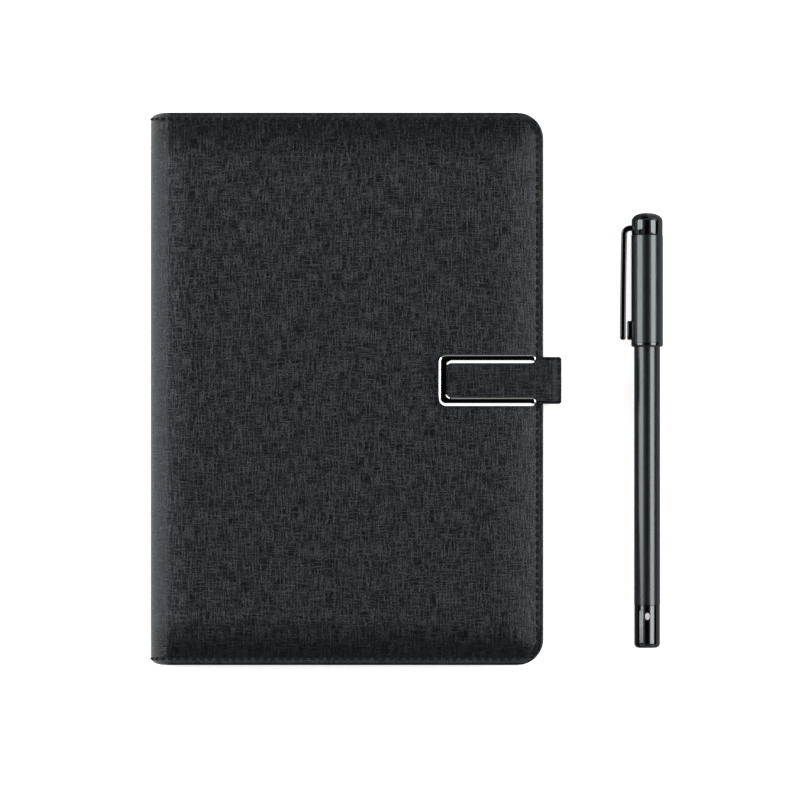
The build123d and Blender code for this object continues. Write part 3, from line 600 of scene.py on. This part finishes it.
def rim_loop(points, columns):
    """Indices round the sewn edge of a half skin, with the way out of the cover at each."""
    last = len(points) - columns
    loop = list(range(columns))
    outward = [-Y_AXIS] * columns
    for index in range(2 * columns - 1, last, columns):
        x, y, _ = points[index]
        loop.append(index)
        if abs(y) > CORNER_Y:
            away = Vector((x - CORNER_X, y - math.copysign(CORNER_Y, y), 0))
            outward.append(away.normalized())
        else:
            outward.append(X_AXIS)
    loop += reversed(range(last, len(points)))
    outward += [Y_AXIS] * columns
    return loop, outward


def rim_profile():
    """Section of the turned rim: way out, way down, and the share of its depth to add."""
    profile = []
    for angle in spaced(0.0, math.pi / 2, 6)[1:]:
        profile.append((EDGE_ROUND * math.sin(angle), EDGE_ROUND * (1 - math.cos(angle)), 0.0))
    for angle in spaced(0.0, math.pi / 2, 4):
        out = EDGE_ROUND - UNDER_ROUND * (1 - math.cos(angle))
        profile.append((out, UNDER_ROUND * (math.sin(angle) - 1), 1.0))
    profile.append((EDGE_ROUND - RIM_TURN_IN, 0.0, 1.0))
    return profile


def flipped(points):
    """Turns points of the front half over to the back half."""
    return [Vector((p.x, p.y, FOLIO_TOP - p.z)) for p in points]


def leather_side(name, flip, drop, rim_depth):
    """One half of the folio's skin: from the middle of the spine over the bend to the fore edge.

    It is made as the front half; flip turns it over for the back half.
    """
    rows = row_places()
    points, normals, uvs, depths = skin_surface(rows, drop, rim_depth)
    columns = len(points) // len(rows)
    leans = [max(-normal.x, 0.0) for normal in normals]
    faces = grid_faces(len(rows), columns)
    loop, outward = rim_loop(points, columns)
    above = loop
    for out, down, whole in rim_profile():
        below = range(len(points), len(points) + len(loop))
        for index, away in zip(loop, outward):
            depth = whole * depths[index]
            points.append(points[index] + away * out - normals[index] * (down + depth))
            leans.append(leans[index])
            run = math.hypot(out, down) + depth
            uvs.append((uvs[index][0] + away.x * run, uvs[index][1] + away.y * run))
        faces += zip(above, below, below[1:], above[1:])
        above = below
    for point, lean in zip(points, leans):
        share = held(1 - (HALF_LENGTH - abs(point.y)) / SPINE_CORNER)
        point.x += SPINE_CORNER_DEPTH * (1 - math.sqrt(1 - share * share)) * lean
    if flip:
        points = flipped(points)
        faces = [tuple(reversed(face)) for face in faces]
    piece = mesh_piece(name, points, faces, uvs)
    return dress(piece, BACK_LEATHER if flip else LEATHER)


front_rim = FOLIO_TOP - BORDER_DROP - FRONT_LINING_Z
front_leather = leather_side("front_leather", False, BORDER_DROP, front_rim)
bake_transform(front_leather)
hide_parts("front_cover_skin", "spine_skin")

back_leather = leather_side("back_leather", True, 0.0, BACK_LINING_Z)
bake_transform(back_leather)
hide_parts("back_cover_skin")


# Stitching


def sewn_path(inset):
    """Points and normals along the sewn edge: tail, fore edge, head; seen as the front half."""
    reach = HALF_LENGTH - inset
    arc = FORE_CORNER - inset
    steps = 200
    turns = 30
    bend_length = BEND * math.pi / 2
    left_length = bend_length + 1.6 * MM
    straight = CORNER_X - BEND_X

    def edge_run(sign):
        run = []
        for s in spaced(-left_length, straight, steps):
            if s >= 0:
                run.append((Vector((BEND_X + s, sign * reach, FOLIO_TOP)), Z_AXIS))
            elif s > -bend_length:
                angle = s / BEND
                normal = Vector((math.sin(angle), 0, math.cos(angle)))
                run.append((Vector((BEND_X, sign * reach, BEND_Z)) + normal * BEND, normal))
            else:
                z = BEND_Z + (s + bend_length)
                run.append((Vector((SPINE_X, sign * reach, z)), -X_AXIS))
        return run

    def corner_run(sign, start):
        centre = Vector((CORNER_X, sign * CORNER_Y, FOLIO_TOP))
        angles = [math.radians(a) for a in spaced(start, start + 90, turns)[1:-1]]
        return [(centre + Vector((math.cos(a), math.sin(a), 0)) * arc, Z_AXIS) for a in angles]

    places = spaced(-CORNER_Y, CORNER_Y, steps)
    fore_run = [(Vector((FORE_X - inset, y, FOLIO_TOP)), Z_AXIS) for y in places]
    tail_run = edge_run(-1) + corner_run(-1, -90)
    return tail_run + fore_run + corner_run(1, 0) + edge_run(1)[::-1]


def along_path(path, distance, lengths):
    """Point, direction and normal at a distance along a path."""
    low = min(max(bisect.bisect_right(lengths, distance) - 1, 0), len(lengths) - 2)
    (start, normal), (stop, next_normal) = path[low : low + 2]
    share = (distance - lengths[low]) / max(lengths[low + 1] - lengths[low], 1e-9)
    direction = (stop - start).normalized()
    return start.lerp(stop, share), direction, normal.lerp(next_normal, share).normalized()


# Rings of one stitch: place along its length, share of its thickness, sink in millimetres
STITCH_RINGS = (
    (-0.5, 0.0, 0.36),
    (-0.47, 0.55, 0.22),
    (-0.36, 0.95, 0.05),
    (-0.15, 1.0, 0.0),
    (0.15, 1.0, 0.0),
    (0.36, 0.95, 0.05),
    (0.47, 0.55, 0.22),
    (0.5, 0.0, 0.36),
)


def stitch_row(name, flip, drop, rise):
    """All stitches of one cover as small sunk threads, in one mesh; rise lifts them."""
    path = sewn_path(STITCH_INSET)
    lengths = [0.0]
    for before, after in zip(path, path[1:]):
        lengths.append(lengths[-1] + (after[0] - before[0]).length)
    count = round(lengths[-1] / STITCH_PITCH)
    step = lengths[-1] / count
    radius = 0.3 * MM
    wide, high = 1.8, 0.85
    around = 8
    points = []
    faces = []
    for index in range(count):
        point, direction, normal = along_path(path, step * (index + 0.5), lengths)
        side = normal.cross(direction)
        yaw = math.radians(random.uniform(1.0, 3.5))
        heading = direction * math.cos(yaw) + side * math.sin(yaw)
        length = step * random.uniform(0.62, 0.68)
        first = len(points)
        for station, size, dip in STITCH_RINGS:
            sunk = dip * MM - rise
            centre = point + heading * (station * length)
            centre = centre - Vector((0, 0, drop)) - normal * (GROOVE_DEPTH + sunk)
            for angle in spaced(0.0, 2 * math.pi, around)[:-1]:
                ring = side * math.cos(angle) * wide + normal * math.sin(angle) * high
                points.append(centre + ring * (radius * max(size, 0.08)))
        faces += grid_faces(len(STITCH_RINGS), around, first, closed=True)
    if flip:
        points = flipped(points)
    return dress(turned_out(mesh_piece(name, points, faces), weld=1e-8), THREAD)


front_stitches = stitch_row("front_stitches", False, BORDER_DROP, STITCH_RISE)
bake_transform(front_stitches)

back_stitches = stitch_row("back_stitches", True, 0.0, -STITCH_RISE)
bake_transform(back_stitches)


# Strap
riser_low, riser_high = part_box("strap_riser")
frame_low, frame_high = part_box("buckle_frame")

STRAP_HALF = (riser_high[1] - riser_low[1]) / 2
STRAP_Y = (riser_high[1] + riser_low[1]) / 2
STRAP_OUT = riser_high[0]
STRAP_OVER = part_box("strap_flap")[1][2]
STRAP_TIP, _, STRAP_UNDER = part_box("strap_flap_lining")[0]
STRAP_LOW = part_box("strap_anchor")[0][2]
STRAP_THICK = STRAP_OVER - STRAP_UNDER
STRAP_BEND = 4.4 * MM
STRAP_TUCK = 2.0 * MM
STRAP_EDGE = 1.05 * MM
STRAP_PLAY = 0.02 * MM
STRAP_TOP_SHARES = (0.93, 0.88, 0.83, 0.6, 0.3, 0.0, -0.3, -0.6, -0.83, -0.88, -0.93)


def strap_line(upper):
    """Middle line of half the strap as points and outward normals."""
    centre_x = STRAP_OUT - STRAP_BEND
    centre_z = STRAP_OVER - STRAP_BEND if upper else STRAP_LOW + STRAP_BEND
    half_z = (STRAP_LOW + STRAP_OVER) / 2
    middle = STRAP_BEND - STRAP_THICK / 2
    first = 0.0 if upper else -math.pi / 2
    turn = []
    for angle in spaced(first, first + math.pi / 2, 16):
        normal = Vector((math.cos(angle), 0, math.sin(angle)))
        turn.append((Vector((centre_x, 0, centre_z)) + normal * middle, normal))

    if upper:
        levels = spaced(half_z, centre_z, 4)[:-1]
        places = spaced(centre_x, STRAP_TIP, 34)[1:]
    else:
        levels = spaced(centre_z, half_z, 4)[1:]
        places = spaced(FORE_X - STRAP_TUCK, centre_x, 5)[:-1]
    side = [(Vector((centre_x + middle, 0, z)), X_AXIS) for z in levels]
    face = Z_AXIS if upper else -Z_AXIS
    flat = [(Vector((x, 0, centre_z)) + face * middle, face) for x in places]
    return side + turn + flat if upper else flat + turn + side


def strap_piece(name, upper):
    """Half of the strap as a closed leather band with rounded edges."""
    line = strap_line(upper)
    half_thick = (STRAP_THICK - STRAP_PLAY) / 2
    ring = rounded_section(STRAP_HALF, half_thick, STRAP_EDGE, 4, STRAP_TOP_SHARES)
    points = []
    uvs = []
    run = 0.0
    for index, (centre, normal) in enumerate(line):
        if index:
            run += (centre - line[index - 1][0]).length
        for x, z in ring:
            points.append(centre + Vector((0, STRAP_Y + x, 0)) + normal * z)
            uvs.append((run if upper else -run, x))
    return dress(swept(name, points, len(ring), uvs), STRAP_LEATHER)


strap_upper = strap_piece("strap_upper", True)
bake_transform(strap_upper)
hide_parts("strap_riser", "strap_flap", "strap_flap_lining")

strap_lower = strap_piece("strap_lower", False)
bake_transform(strap_lower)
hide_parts("strap_anchor")


# Buckle frame
FRAME_BAR = 3.2 * MM
FRAME_END_BAR = 2.8 * MM
# Bevel of the frame by the direction its edge faces: degrees, width in mm, tilt in degrees
LOOP_BEVELS = (
    (0, 0.06, 37), (20, 0.4, 37), (45, 0.5, 37), (75, 0.5, 37), (90, 0.45, 22), (135, 0.45, 30),
    (180, 0.6, 37), (225, 0.9, 37), (270, 1.08, 37), (315, 0.62, 37), (360, 0.06, 37),
)
TIP_BEVELS = (
    (0, 0.34, 27), (45, 0.4, 25), (90, 0.4, 22), (180, 0.6, 30), (270, 1.08, 37),
    (315, 0.7, 33), (360, 0.34, 27),
)


def bevel_at(table, facing):
    """Width and tilt of the bevel for the direction that an edge faces, in degrees."""
    for before, after in zip(table, table[1:]):
        if before[0] <= facing <= after[0]:
            share = (facing - before[0]) / (after[0] - before[0])
            width = before[1] + (after[1] - before[1]) * share
            tilt = before[2] + (after[2] - before[2]) * share
            return width * MM, math.radians(tilt)
    return table[0][1] * MM, math.radians(table[0][2])


def frame_outline():
    """Closed outline of the U: points, outward normals and bevels, counter-clockwise."""
    left, right = frame_low[0], frame_high[0]
    half = (frame_high[1] - frame_low[1]) / 2
    outer = 2.8 * MM
    inner = 2.1 * MM
    tip = 1.55 * MM
    outline = []

    def arc(cx, cy, radius, start, sweep, table, outward=1):
        for degrees in spaced(start, start + sweep, 14):
            angle = math.radians(degrees)
            direction = Vector((math.cos(angle), math.sin(angle), 0))
            facing = (degrees if outward > 0 else degrees + 180) % 360
            place = Vector((cx, STRAP_Y + cy, 0)) + direction * radius
            outline.append((place, direction * outward, bevel_at(table, facing)))

    inner_x = left + FRAME_END_BAR + inner
    arc(left + outer, -half + outer, outer, 180, 90, LOOP_BEVELS)
    arc(right - tip, -half + tip, tip, 270, 90, TIP_BEVELS)
    arc(right - tip, -half + FRAME_BAR - tip, tip, 0, 90, TIP_BEVELS)
    arc(inner_x, -half + FRAME_BAR + inner, inner, 270, -90, LOOP_BEVELS, -1)
    arc(inner_x, half - FRAME_BAR - inner, inner, 180, -90, LOOP_BEVELS, -1)
    arc(right - tip, half - FRAME_BAR + tip, tip, 270, 90, TIP_BEVELS)
    arc(right - tip, half - tip, tip, 0, 90, TIP_BEVELS)
    arc(left + outer, half - outer, outer, 90, 90, LOOP_BEVELS)
    return outline


def buckle_frame():
    """Polished frame with a flat top and bevels that change round its edge."""
    outline = frame_outline()
    bottom, top = frame_low[2], frame_high[2]
    points = []
    for level in range(3):
        for place, normal, (width, tilt) in outline:
            inset = width if level == 2 else 0.0
            z = (bottom, top - width * math.tan(tilt), top)[level]
            points.append(Vector((place.x, place.y, z)) - normal * inset)
    count = len(outline)
    faces = grid_faces(3, count, closed=True)
    piece = turned_out(mesh_piece("polished_frame", points, faces), fill=True, sharp=16)
    return dress(piece, FRAME_METAL)


polished_frame = buckle_frame()
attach(polished_frame, "strap_tongue")
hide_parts("buckle_frame")


# Pen
barrel_low, barrel_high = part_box("pen_barrel")
cap_low, cap_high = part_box("cap_sleeve")
ring_low, ring_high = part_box("cap_mouth_ring")
finial_low, finial_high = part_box("cap_finial")
tail_low, tail_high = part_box("tail_cap")
clip_low, clip_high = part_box("clip")
pad_low, pad_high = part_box("grip_pad")
pipe_low, pipe_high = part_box("led_light_pipe")

PEN_X = (barrel_low[0] + barrel_high[0]) / 2
PEN_Z = (barrel_low[2] + barrel_high[2]) / 2
TURNS = 128


def lathe(name, profile, material, sharp=25):
    """Turned piece: a profile of radius and place along the pen."""
    points = []
    uvs = []
    for radius, y in profile:
        for angle in spaced(0.0, 2 * math.pi, TURNS)[:-1]:
            x, z = PEN_X + radius * math.cos(angle), PEN_Z + radius * math.sin(angle)
            points.append(Vector((x, y, z)))
            uvs.append((radius * angle, y))
    faces = grid_faces(len(profile), TURNS, closed=True)
    piece = mesh_piece(name, points, faces, uvs)
    return dress(turned_out(piece, weld=1e-7, sharp=sharp), material)


def rounded(radius, y, width, height, power=1.0, steps=10):
    """Points of a rounded shoulder from the side to the end."""
    points = []
    for angle in spaced(0.0, math.pi / 2, steps):
        across = radius - width + width * max(math.cos(angle), 0.0) ** power
        points.append((across, y + height * math.sin(angle) ** power))
    return points


CAP_RADIUS = (cap_high[0] - cap_low[0]) / 2
CAP_BORE = CAP_RADIUS - 0.85 * MM
BARREL_RADIUS = (barrel_high[0] - barrel_low[0]) / 2
BARREL_BORE = BARREL_RADIUS - 0.9 * MM
FINIAL_RADIUS = (finial_high[0] - finial_low[0]) / 2
TAIL_RADIUS = (tail_high[0] - tail_low[0]) / 2
FINIAL_SEAM = cap_high[1]
TAIL_SEAM = barrel_low[1]
TINY = 0.12 * MM


def tube(bore, radius, low, high, chamfer):
    """Profile of a tube from low to high, with small chamfers outside."""
    return [
        (bore, low),
        (radius - chamfer, low),
        (radius, low + chamfer),
        (radius, high - TINY),
        (radius - TINY, high),
        (bore, high),
        (bore, low),
    ]


cap_profile = tube(CAP_BORE, CAP_RADIUS, cap_low[1], cap_high[1], TINY / 2)
cap_tube = lathe("cap_tube", cap_profile, PEN_PAINT)
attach(cap_tube, "pen_cap")
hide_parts("cap_sleeve")

mouth_bore = BARREL_RADIUS + 0.2 * MM
MOUTH_ROUND = 0.85 * MM
mouth_ring = lathe(
    "mouth_ring",
    [
        (mouth_bore, ring_high[1]),
        (CAP_RADIUS - TINY / 2, ring_high[1]),
        (CAP_RADIUS, ring_high[1] - TINY / 2),
        *rounded(CAP_RADIUS, ring_low[1] + MOUTH_ROUND, MOUTH_ROUND, -MOUTH_ROUND),
        (mouth_bore + 0.1 * MM, ring_low[1]),
        (mouth_bore, ring_low[1] + 0.1 * MM),
        (mouth_bore, ring_high[1]),
    ],
    PEN_GLOSS,
)
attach(mouth_ring, "pen_cap")
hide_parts("cap_mouth_ring")

DOME = 3.6 * MM
finial = lathe(
    "finial",
    [
        (0.0, FINIAL_SEAM),
        (FINIAL_RADIUS - 2.2 * TINY, FINIAL_SEAM),
        (FINIAL_RADIUS - 0.6 * TINY, FINIAL_SEAM + 1.2 * TINY),
        (FINIAL_RADIUS, FINIAL_SEAM + 3 * TINY),
        *rounded(FINIAL_RADIUS, finial_high[1] - DOME, FINIAL_RADIUS, DOME, 0.85, 24),
    ],
    PEN_GLOSS,
    40,
)
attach(finial, "pen_cap")
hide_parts("cap_finial")

barrel_profile = tube(BARREL_BORE, BARREL_RADIUS, barrel_low[1], barrel_high[1], TINY)
barrel_tube = lathe("barrel_tube", barrel_profile, PEN_PAINT)
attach(barrel_tube, "pen")
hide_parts("pen_barrel")


def rounded_box(name, low, high, radius, material):
    """Box with rounded edges between two corners."""
    work = bmesh.new()
    bmesh.ops.create_cube(work, size=1.0)
    size = Vector(high) - Vector(low)
    middle = (Vector(high) + Vector(low)) / 2
    for vertex in work.verts:
        vertex.co = Vector([vertex.co[k] * size[k] for k in range(3)]) + middle
    bmesh.ops.bevel(
        work, geom=work.edges[:], offset=radius, segments=4, affect="EDGES", profile=0.5
    )
    mesh = bpy.data.meshes.new(name)
    work.to_mesh(mesh)
    work.free()
    mesh.polygons.foreach_set("use_smooth", [True] * len(mesh.polygons))
    return dress(placed(name, mesh), material)


def cut(piece, tool):
    """Cuts a closed tool out of a piece and removes the tool."""
    modifier = piece.modifiers.new("cut", "BOOLEAN")
    modifier.operation = "DIFFERENCE"
    modifier.object = tool
    modifier.solver = "EXACT"
    bpy.context.view_layer.update()
    graph = bpy.context.evaluated_depsgraph_get()
    mesh = bpy.data.meshes.new_from_object(piece.evaluated_get(graph))
    piece.modifiers.remove(modifier)
    piece.data = mesh
    bpy.data.objects.remove(tool)
    turned_out(piece, sharp=25)


tail_shell = lathe(
    "tail_shell",
    [
        (0.0, TAIL_SEAM),
        (TAIL_RADIUS - TINY, TAIL_SEAM),
        (TAIL_RADIUS, TAIL_SEAM - TINY),
        *[(TAIL_RADIUS, pipe_high[1] + (0.4 - 0.2 * step) * MM) for step in range(24)],
        (TAIL_RADIUS, tail_low[1] + 2.6 * MM),
        (TAIL_RADIUS, tail_low[1] + 2.2 * MM),
        *rounded(TAIL_RADIUS, tail_low[1] + 1.8 * MM, 1.8 * MM, -1.8 * MM, steps=14),
        (0.0, tail_low[1]),
    ],
    PEN_GLOSS,
    40,
)


def oval_post(name, length, width, low, high, material, crown=0.0):
    """Upright oval post at the light pipe's place; its top may be crowned."""
    steps = 32
    rings = [
        (1.0, low),
        (1.0, high - 0.05 * MM),
        (0.97, high - 0.01 * MM),
        (0.6, high + crown * 0.7),
        (0.0, high + crown),
    ]
    points = []
    for scale, z in rings:
        for angle in spaced(0.0, 2 * math.pi, steps)[:-1]:
            x = math.cos(angle) * width / 2
            y = math.sin(angle) * width / 2
            y += math.copysign((length - width) / 2, math.sin(angle))
            points.append(Vector((PIPE_X + x * scale, PIPE_Y + y * scale, z)))
    faces = grid_faces(len(rings), steps, closed=True)
    faces.append(tuple(reversed(range(steps))))
    return dress(turned_out(mesh_piece(name, points, faces), weld=1e-8), material)


PIPE_X = (pipe_low[0] + pipe_high[0]) / 2
PIPE_Y = (pipe_low[1] + pipe_high[1]) / 2
SHOWN_LENGTH = (pipe_high[1] - pipe_low[1]) * 0.88
SHOWN_WIDTH = (pipe_high[0] - pipe_low[0]) * 0.92
well = oval_post(
    "light_well",
    SHOWN_LENGTH + 0.12 * MM,
    SHOWN_WIDTH + 0.12 * MM,
    PEN_Z + 2.0 * MM,
    PEN_Z + TAIL_RADIUS + 1 * MM,
    PEN_GLOSS,
)
cut(tail_shell, well)
socket_low, socket_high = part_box("socket_shell")
mouth = rounded_box(
    "socket_mouth",
    (socket_low[0] - 0.03 * MM, socket_low[1] - 3 * MM, socket_low[2] - 0.03 * MM),
    (socket_high[0] + 0.03 * MM, socket_high[1], socket_high[2] + 0.03 * MM),
    0.7 * MM,
    PEN_GLOSS,
)
cut(tail_shell, mouth)
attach(tail_shell, "pen")
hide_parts("tail_cap")

light_oval = oval_post(
    "light_oval",
    SHOWN_LENGTH,
    SHOWN_WIDTH,
    PEN_Z + 1.6 * MM,
    PEN_Z + TAIL_RADIUS - 0.14 * MM,
    LIGHT_PIPE,
    0.08 * MM,
)
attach(light_oval, "pen")
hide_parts("led_light_pipe")


CLIP_TOP = 64.9 * MM
CLIP_THICK = 2.2 * MM
CLIP_BEND = 2.4 * MM
CLIP_TIP = 0.9 * MM
CLIP_EDGE = 0.55 * MM


def clip_line():
    """Middle line of the clip in plan, with the share of its full section at each point."""
    middle = CLIP_THICK / 2
    root_y = CLIP_TOP - 1.35 * MM
    seat_x = PEN_X - FINIAL_RADIUS
    line = [(Vector((x, root_y, 0)), 1.0) for x in (seat_x + 1.4 * MM, seat_x)]
    turn_x = clip_low[0] + 0.8 * MM + middle + CLIP_BEND - 0.3 * MM
    centre = Vector((turn_x, root_y - CLIP_BEND, 0))
    for angle in map(math.radians, spaced(90, 174, 12)):
        way = Vector((math.cos(angle), math.sin(angle), 0))
        line.append((centre + way * CLIP_BEND, 1.0))
    start = line[-1][0]
    for share in spaced(0.0, 1.0, 14)[1:]:
        x = start.x + (clip_low[0] + middle - start.x) * (1 - (1 - share) ** 1.6)
        y = start.y + (clip_low[1] + CLIP_TIP - start.y) * share
        line.append((Vector((x, y, 0)), 1.0))
    tip = line[-1][0]
    for angle in spaced(0.0, math.pi / 2, 6)[1:]:
        place = Vector((tip.x, tip.y - CLIP_TIP * math.sin(angle), 0))
        line.append((place, max(math.cos(angle), 0.02)))
    return line


def pen_clip():
    """Clip: a flat bar that leaves the finial, turns and runs down beside the cap."""
    line = clip_line()
    half_width = (clip_high[2] - clip_low[2]) / 2
    section = rounded_section(CLIP_THICK / 2, half_width, CLIP_EDGE, 5)
    points = []
    for index, (centre, scale) in enumerate(line):
        before = line[max(index - 1, 0)][0]
        after = line[min(index + 1, len(line) - 1)][0]
        heading = (after - before).normalized()
        side = Vector((heading.y, -heading.x, 0))
        for across, up in section:
            point = centre + side * across * (0.25 + 0.75 * scale)
            points.append(Vector((point.x, point.y, PEN_Z + up * (0.6 + 0.4 * scale))))
    return dress(swept("side_clip", points, len(section)), PEN_GLOSS)


rubber_pad = rounded_box(
    "clip_pad",
    (pad_low[0], pad_low[1], pad_low[2]),
    (pad_high[0] + 1.2 * MM, pad_high[1], pad_high[2]),
    0.55 * MM,
    PEN_GLOSS,
)
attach(rubber_pad, "pen_cap")
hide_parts("grip_pad")

side_clip = pen_clip()
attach(side_clip, "pen_clip")
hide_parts("clip")


# Floor, lamps, cards and camera; lengths in metres where MM isn't named
IMAGE_WIDTH = 315.7 * MM
LENS = 600.0
SENSOR = 36.0
VIEW_X = 20.95 * MM
VIEW_Y = -4.38 * MM
VIEW_LEVEL = 18.0 * MM

FLOOR_HALF = 6.0
FLOOR_GLOW = 0.62
LAMP_CENTRE_X = 0.06
# Lamps: name, lean in degrees, distance, length, width, power in watts, place along Y
LAMPS = (
    ("left_strip", -54, 1.2, 0.8, 0.86, 10.6, 0.275),
    ("right_strip", 47, 1.2, 0.8, 0.73, 11.0, 0.15),
)
WORLD_LIGHT = 0.32
WORLD_SEEN = 1.0

# Cards that only gloss sees: bounds in X under the folio and beside the pen, and their greys
CARD_HALF = 0.8
CARD_LEVEL = -0.1 * MM
SHADED_X = (-0.0775, 0.085)
GREY_X = (0.085, 0.1185)
PALE_X = (0.1185, 0.8)
SIDE_WALL_X = 2.4
PEN_FLAG_X = 0.095
RING_X = 0.055
RING_RADIUS = 1.3
RING_LOW, RING_HIGH = 0.25, 0.48
DARK_SHADE = 0.0015
GREY_SHADE = 0.15
PALE_SHADE = 0.4
WHITE_SHADE = 1.5


def white_floor():
    """Pale floor that shows nearly white to the camera and in gloss, and keeps the shadow."""
    corners = [(x * FLOOR_HALF, y * FLOOR_HALF, 0) for x, y in ((-1, -1), (1, -1), (1, 1), (-1, 1))]
    floor = mesh_piece("floor", corners, [(0, 1, 2, 3)])
    floor.location.z = 2 * CARD_LEVEL
    make = Maker("floor_white")
    path = make.add("LightPath").outputs
    gloss = make.math("MAXIMUM", path["Is Glossy Ray"], path["Is Transmission Ray"])
    seen = make.math("MAXIMUM", path["Is Camera Ray"], gloss)
    make.set(
        Base_Color=(0.9, 0.9, 0.9, 1),
        Roughness=0.9,
        Specular_IOR_Level=0.1,
        Emission_Color=(1, 1, 1, 1),
        Emission_Strength=make.math("MULTIPLY", seen, FLOOR_GLOW),
    )
    dress(floor, make.material)


def strip_lamp(name, lean, distance, length, width, power, place_y):
    """Long soft lamp beside the object, parallel to the pen, turned towards it."""
    data = bpy.data.lights.new(name, "AREA")
    data.shape = "RECTANGLE"
    data.size = width
    data.size_y = length
    data.energy = power
    lamp = placed(name, data)
    angle = math.radians(lean)
    place_x = LAMP_CENTRE_X + distance * math.sin(angle)
    lamp.location = (place_x, place_y, distance * math.cos(angle))
    lamp.rotation_euler = (0, angle, 0)


white_floor()
for lamp_settings in LAMPS:
    strip_lamp(*lamp_settings)

world = bpy.data.worlds.new("studio")
scene.world = world
world.use_nodes = True
world_nodes, world_links = world.node_tree.nodes, world.node_tree.links
background = world_nodes["Background"]
background.inputs["Color"].default_value = (1, 1, 1, 1)
world_path = world_nodes.new("ShaderNodeLightPath")
world_level = world_nodes.new("ShaderNodeMix")
world_level.inputs["A"].default_value = WORLD_LIGHT
world_level.inputs["B"].default_value = WORLD_SEEN
world_links.new(world_path.outputs["Is Camera Ray"], world_level.inputs["Factor"])
world_links.new(world_level.outputs["Result"], background.inputs["Strength"])


def gloss_cards(name, quads, shade):
    """Cards of one grey that only gloss sees, as the flags of a studio."""
    points = [corner for quad in quads for corner in quad]
    faces = [tuple(range(4 * k, 4 * k + 4)) for k in range(len(quads))]
    card = mesh_piece(name, points, faces, smooth=False)
    make = Maker(name)
    make.set(
        Base_Color=(0, 0, 0, 1),
        Roughness=1.0,
        Specular_IOR_Level=0.0,
        Emission_Color=(shade, shade, shade, 1),
        Emission_Strength=1.0,
    )
    dress(card, make.material)
    card.visible_camera = False
    card.visible_diffuse = False
    card.visible_shadow = False
    card.visible_transmission = False


def flat_quad(x_low, x_high, level=CARD_LEVEL):
    """Corners of a level card, by default just over the floor."""
    places = ((x_low, -CARD_HALF), (x_high, -CARD_HALF), (x_high, CARD_HALF), (x_low, CARD_HALF))
    return [(x, y, level) for x, y in places]


def wall_quad(x_a, y_a, x_b, y_b, low, high):
    """Corners of an upright card."""
    return [(x_a, y_a, low), (x_b, y_b, low), (x_b, y_b, high), (x_a, y_a, high)]


def arc_quads(start, stop, steps):
    """Upright cards on a ring round the frame, from one bearing to another in degrees."""
    bearings = [math.radians(bearing) for bearing in spaced(start, stop, steps)]
    places = [(RING_X + RING_RADIUS * math.cos(b), RING_RADIUS * math.sin(b)) for b in bearings]
    return [wall_quad(*a, *b, RING_LOW, RING_HIGH) for a, b in zip(places, places[1:])]


overhead = flat_quad(-0.45, 0.55, 1.6)
side_walls = [wall_quad(x, -1.5, x, 1.5, 0.0, 2.0) for x in (SIDE_WALL_X, -SIDE_WALL_X)]
head_wall = wall_quad(-0.8, 1.5, 1.0, 1.5, 0.0, 1.1)
tail_wall = wall_quad(-0.8, -2.0, 1.8, -2.0, 0.0, 2.2)
# Flags beside the pen, lower towards its cap, that keep the low white cards off the barrel
barrel_flag = [
    (PEN_FLAG_X, y, z)
    for y, z in ((-0.015, 0.008), (-0.088, 0.008), (-0.088, 0.023), (-0.015, 0.01))
]
tail_flag = wall_quad(PEN_FLAG_X, -0.088, PEN_FLAG_X, -0.13, 0.008, 0.0165)
gloss_cards(
    "dark_cards",
    [overhead, flat_quad(*SHADED_X), head_wall, *side_walls, tail_wall, barrel_flag, tail_flag],
    DARK_SHADE,
)
gloss_cards("low_white_cards", arc_quads(158, 335, 24) + arc_quads(14, 80, 10), WHITE_SHADE)
gloss_cards("grey_floor_card", [flat_quad(*GREY_X)], GREY_SHADE)
gloss_cards("pale_floor_cards", [flat_quad(*PALE_X)], PALE_SHADE)

camera_data = bpy.data.cameras.new("camera")
camera_data.lens = LENS
camera_data.sensor_width = SENSOR
camera_data.clip_end = 50.0
camera = placed("camera", camera_data)
camera.location = (VIEW_X, VIEW_Y, VIEW_LEVEL + IMAGE_WIDTH * LENS / SENSOR)
scene.camera = camera

scene.view_settings.view_transform = "Standard"
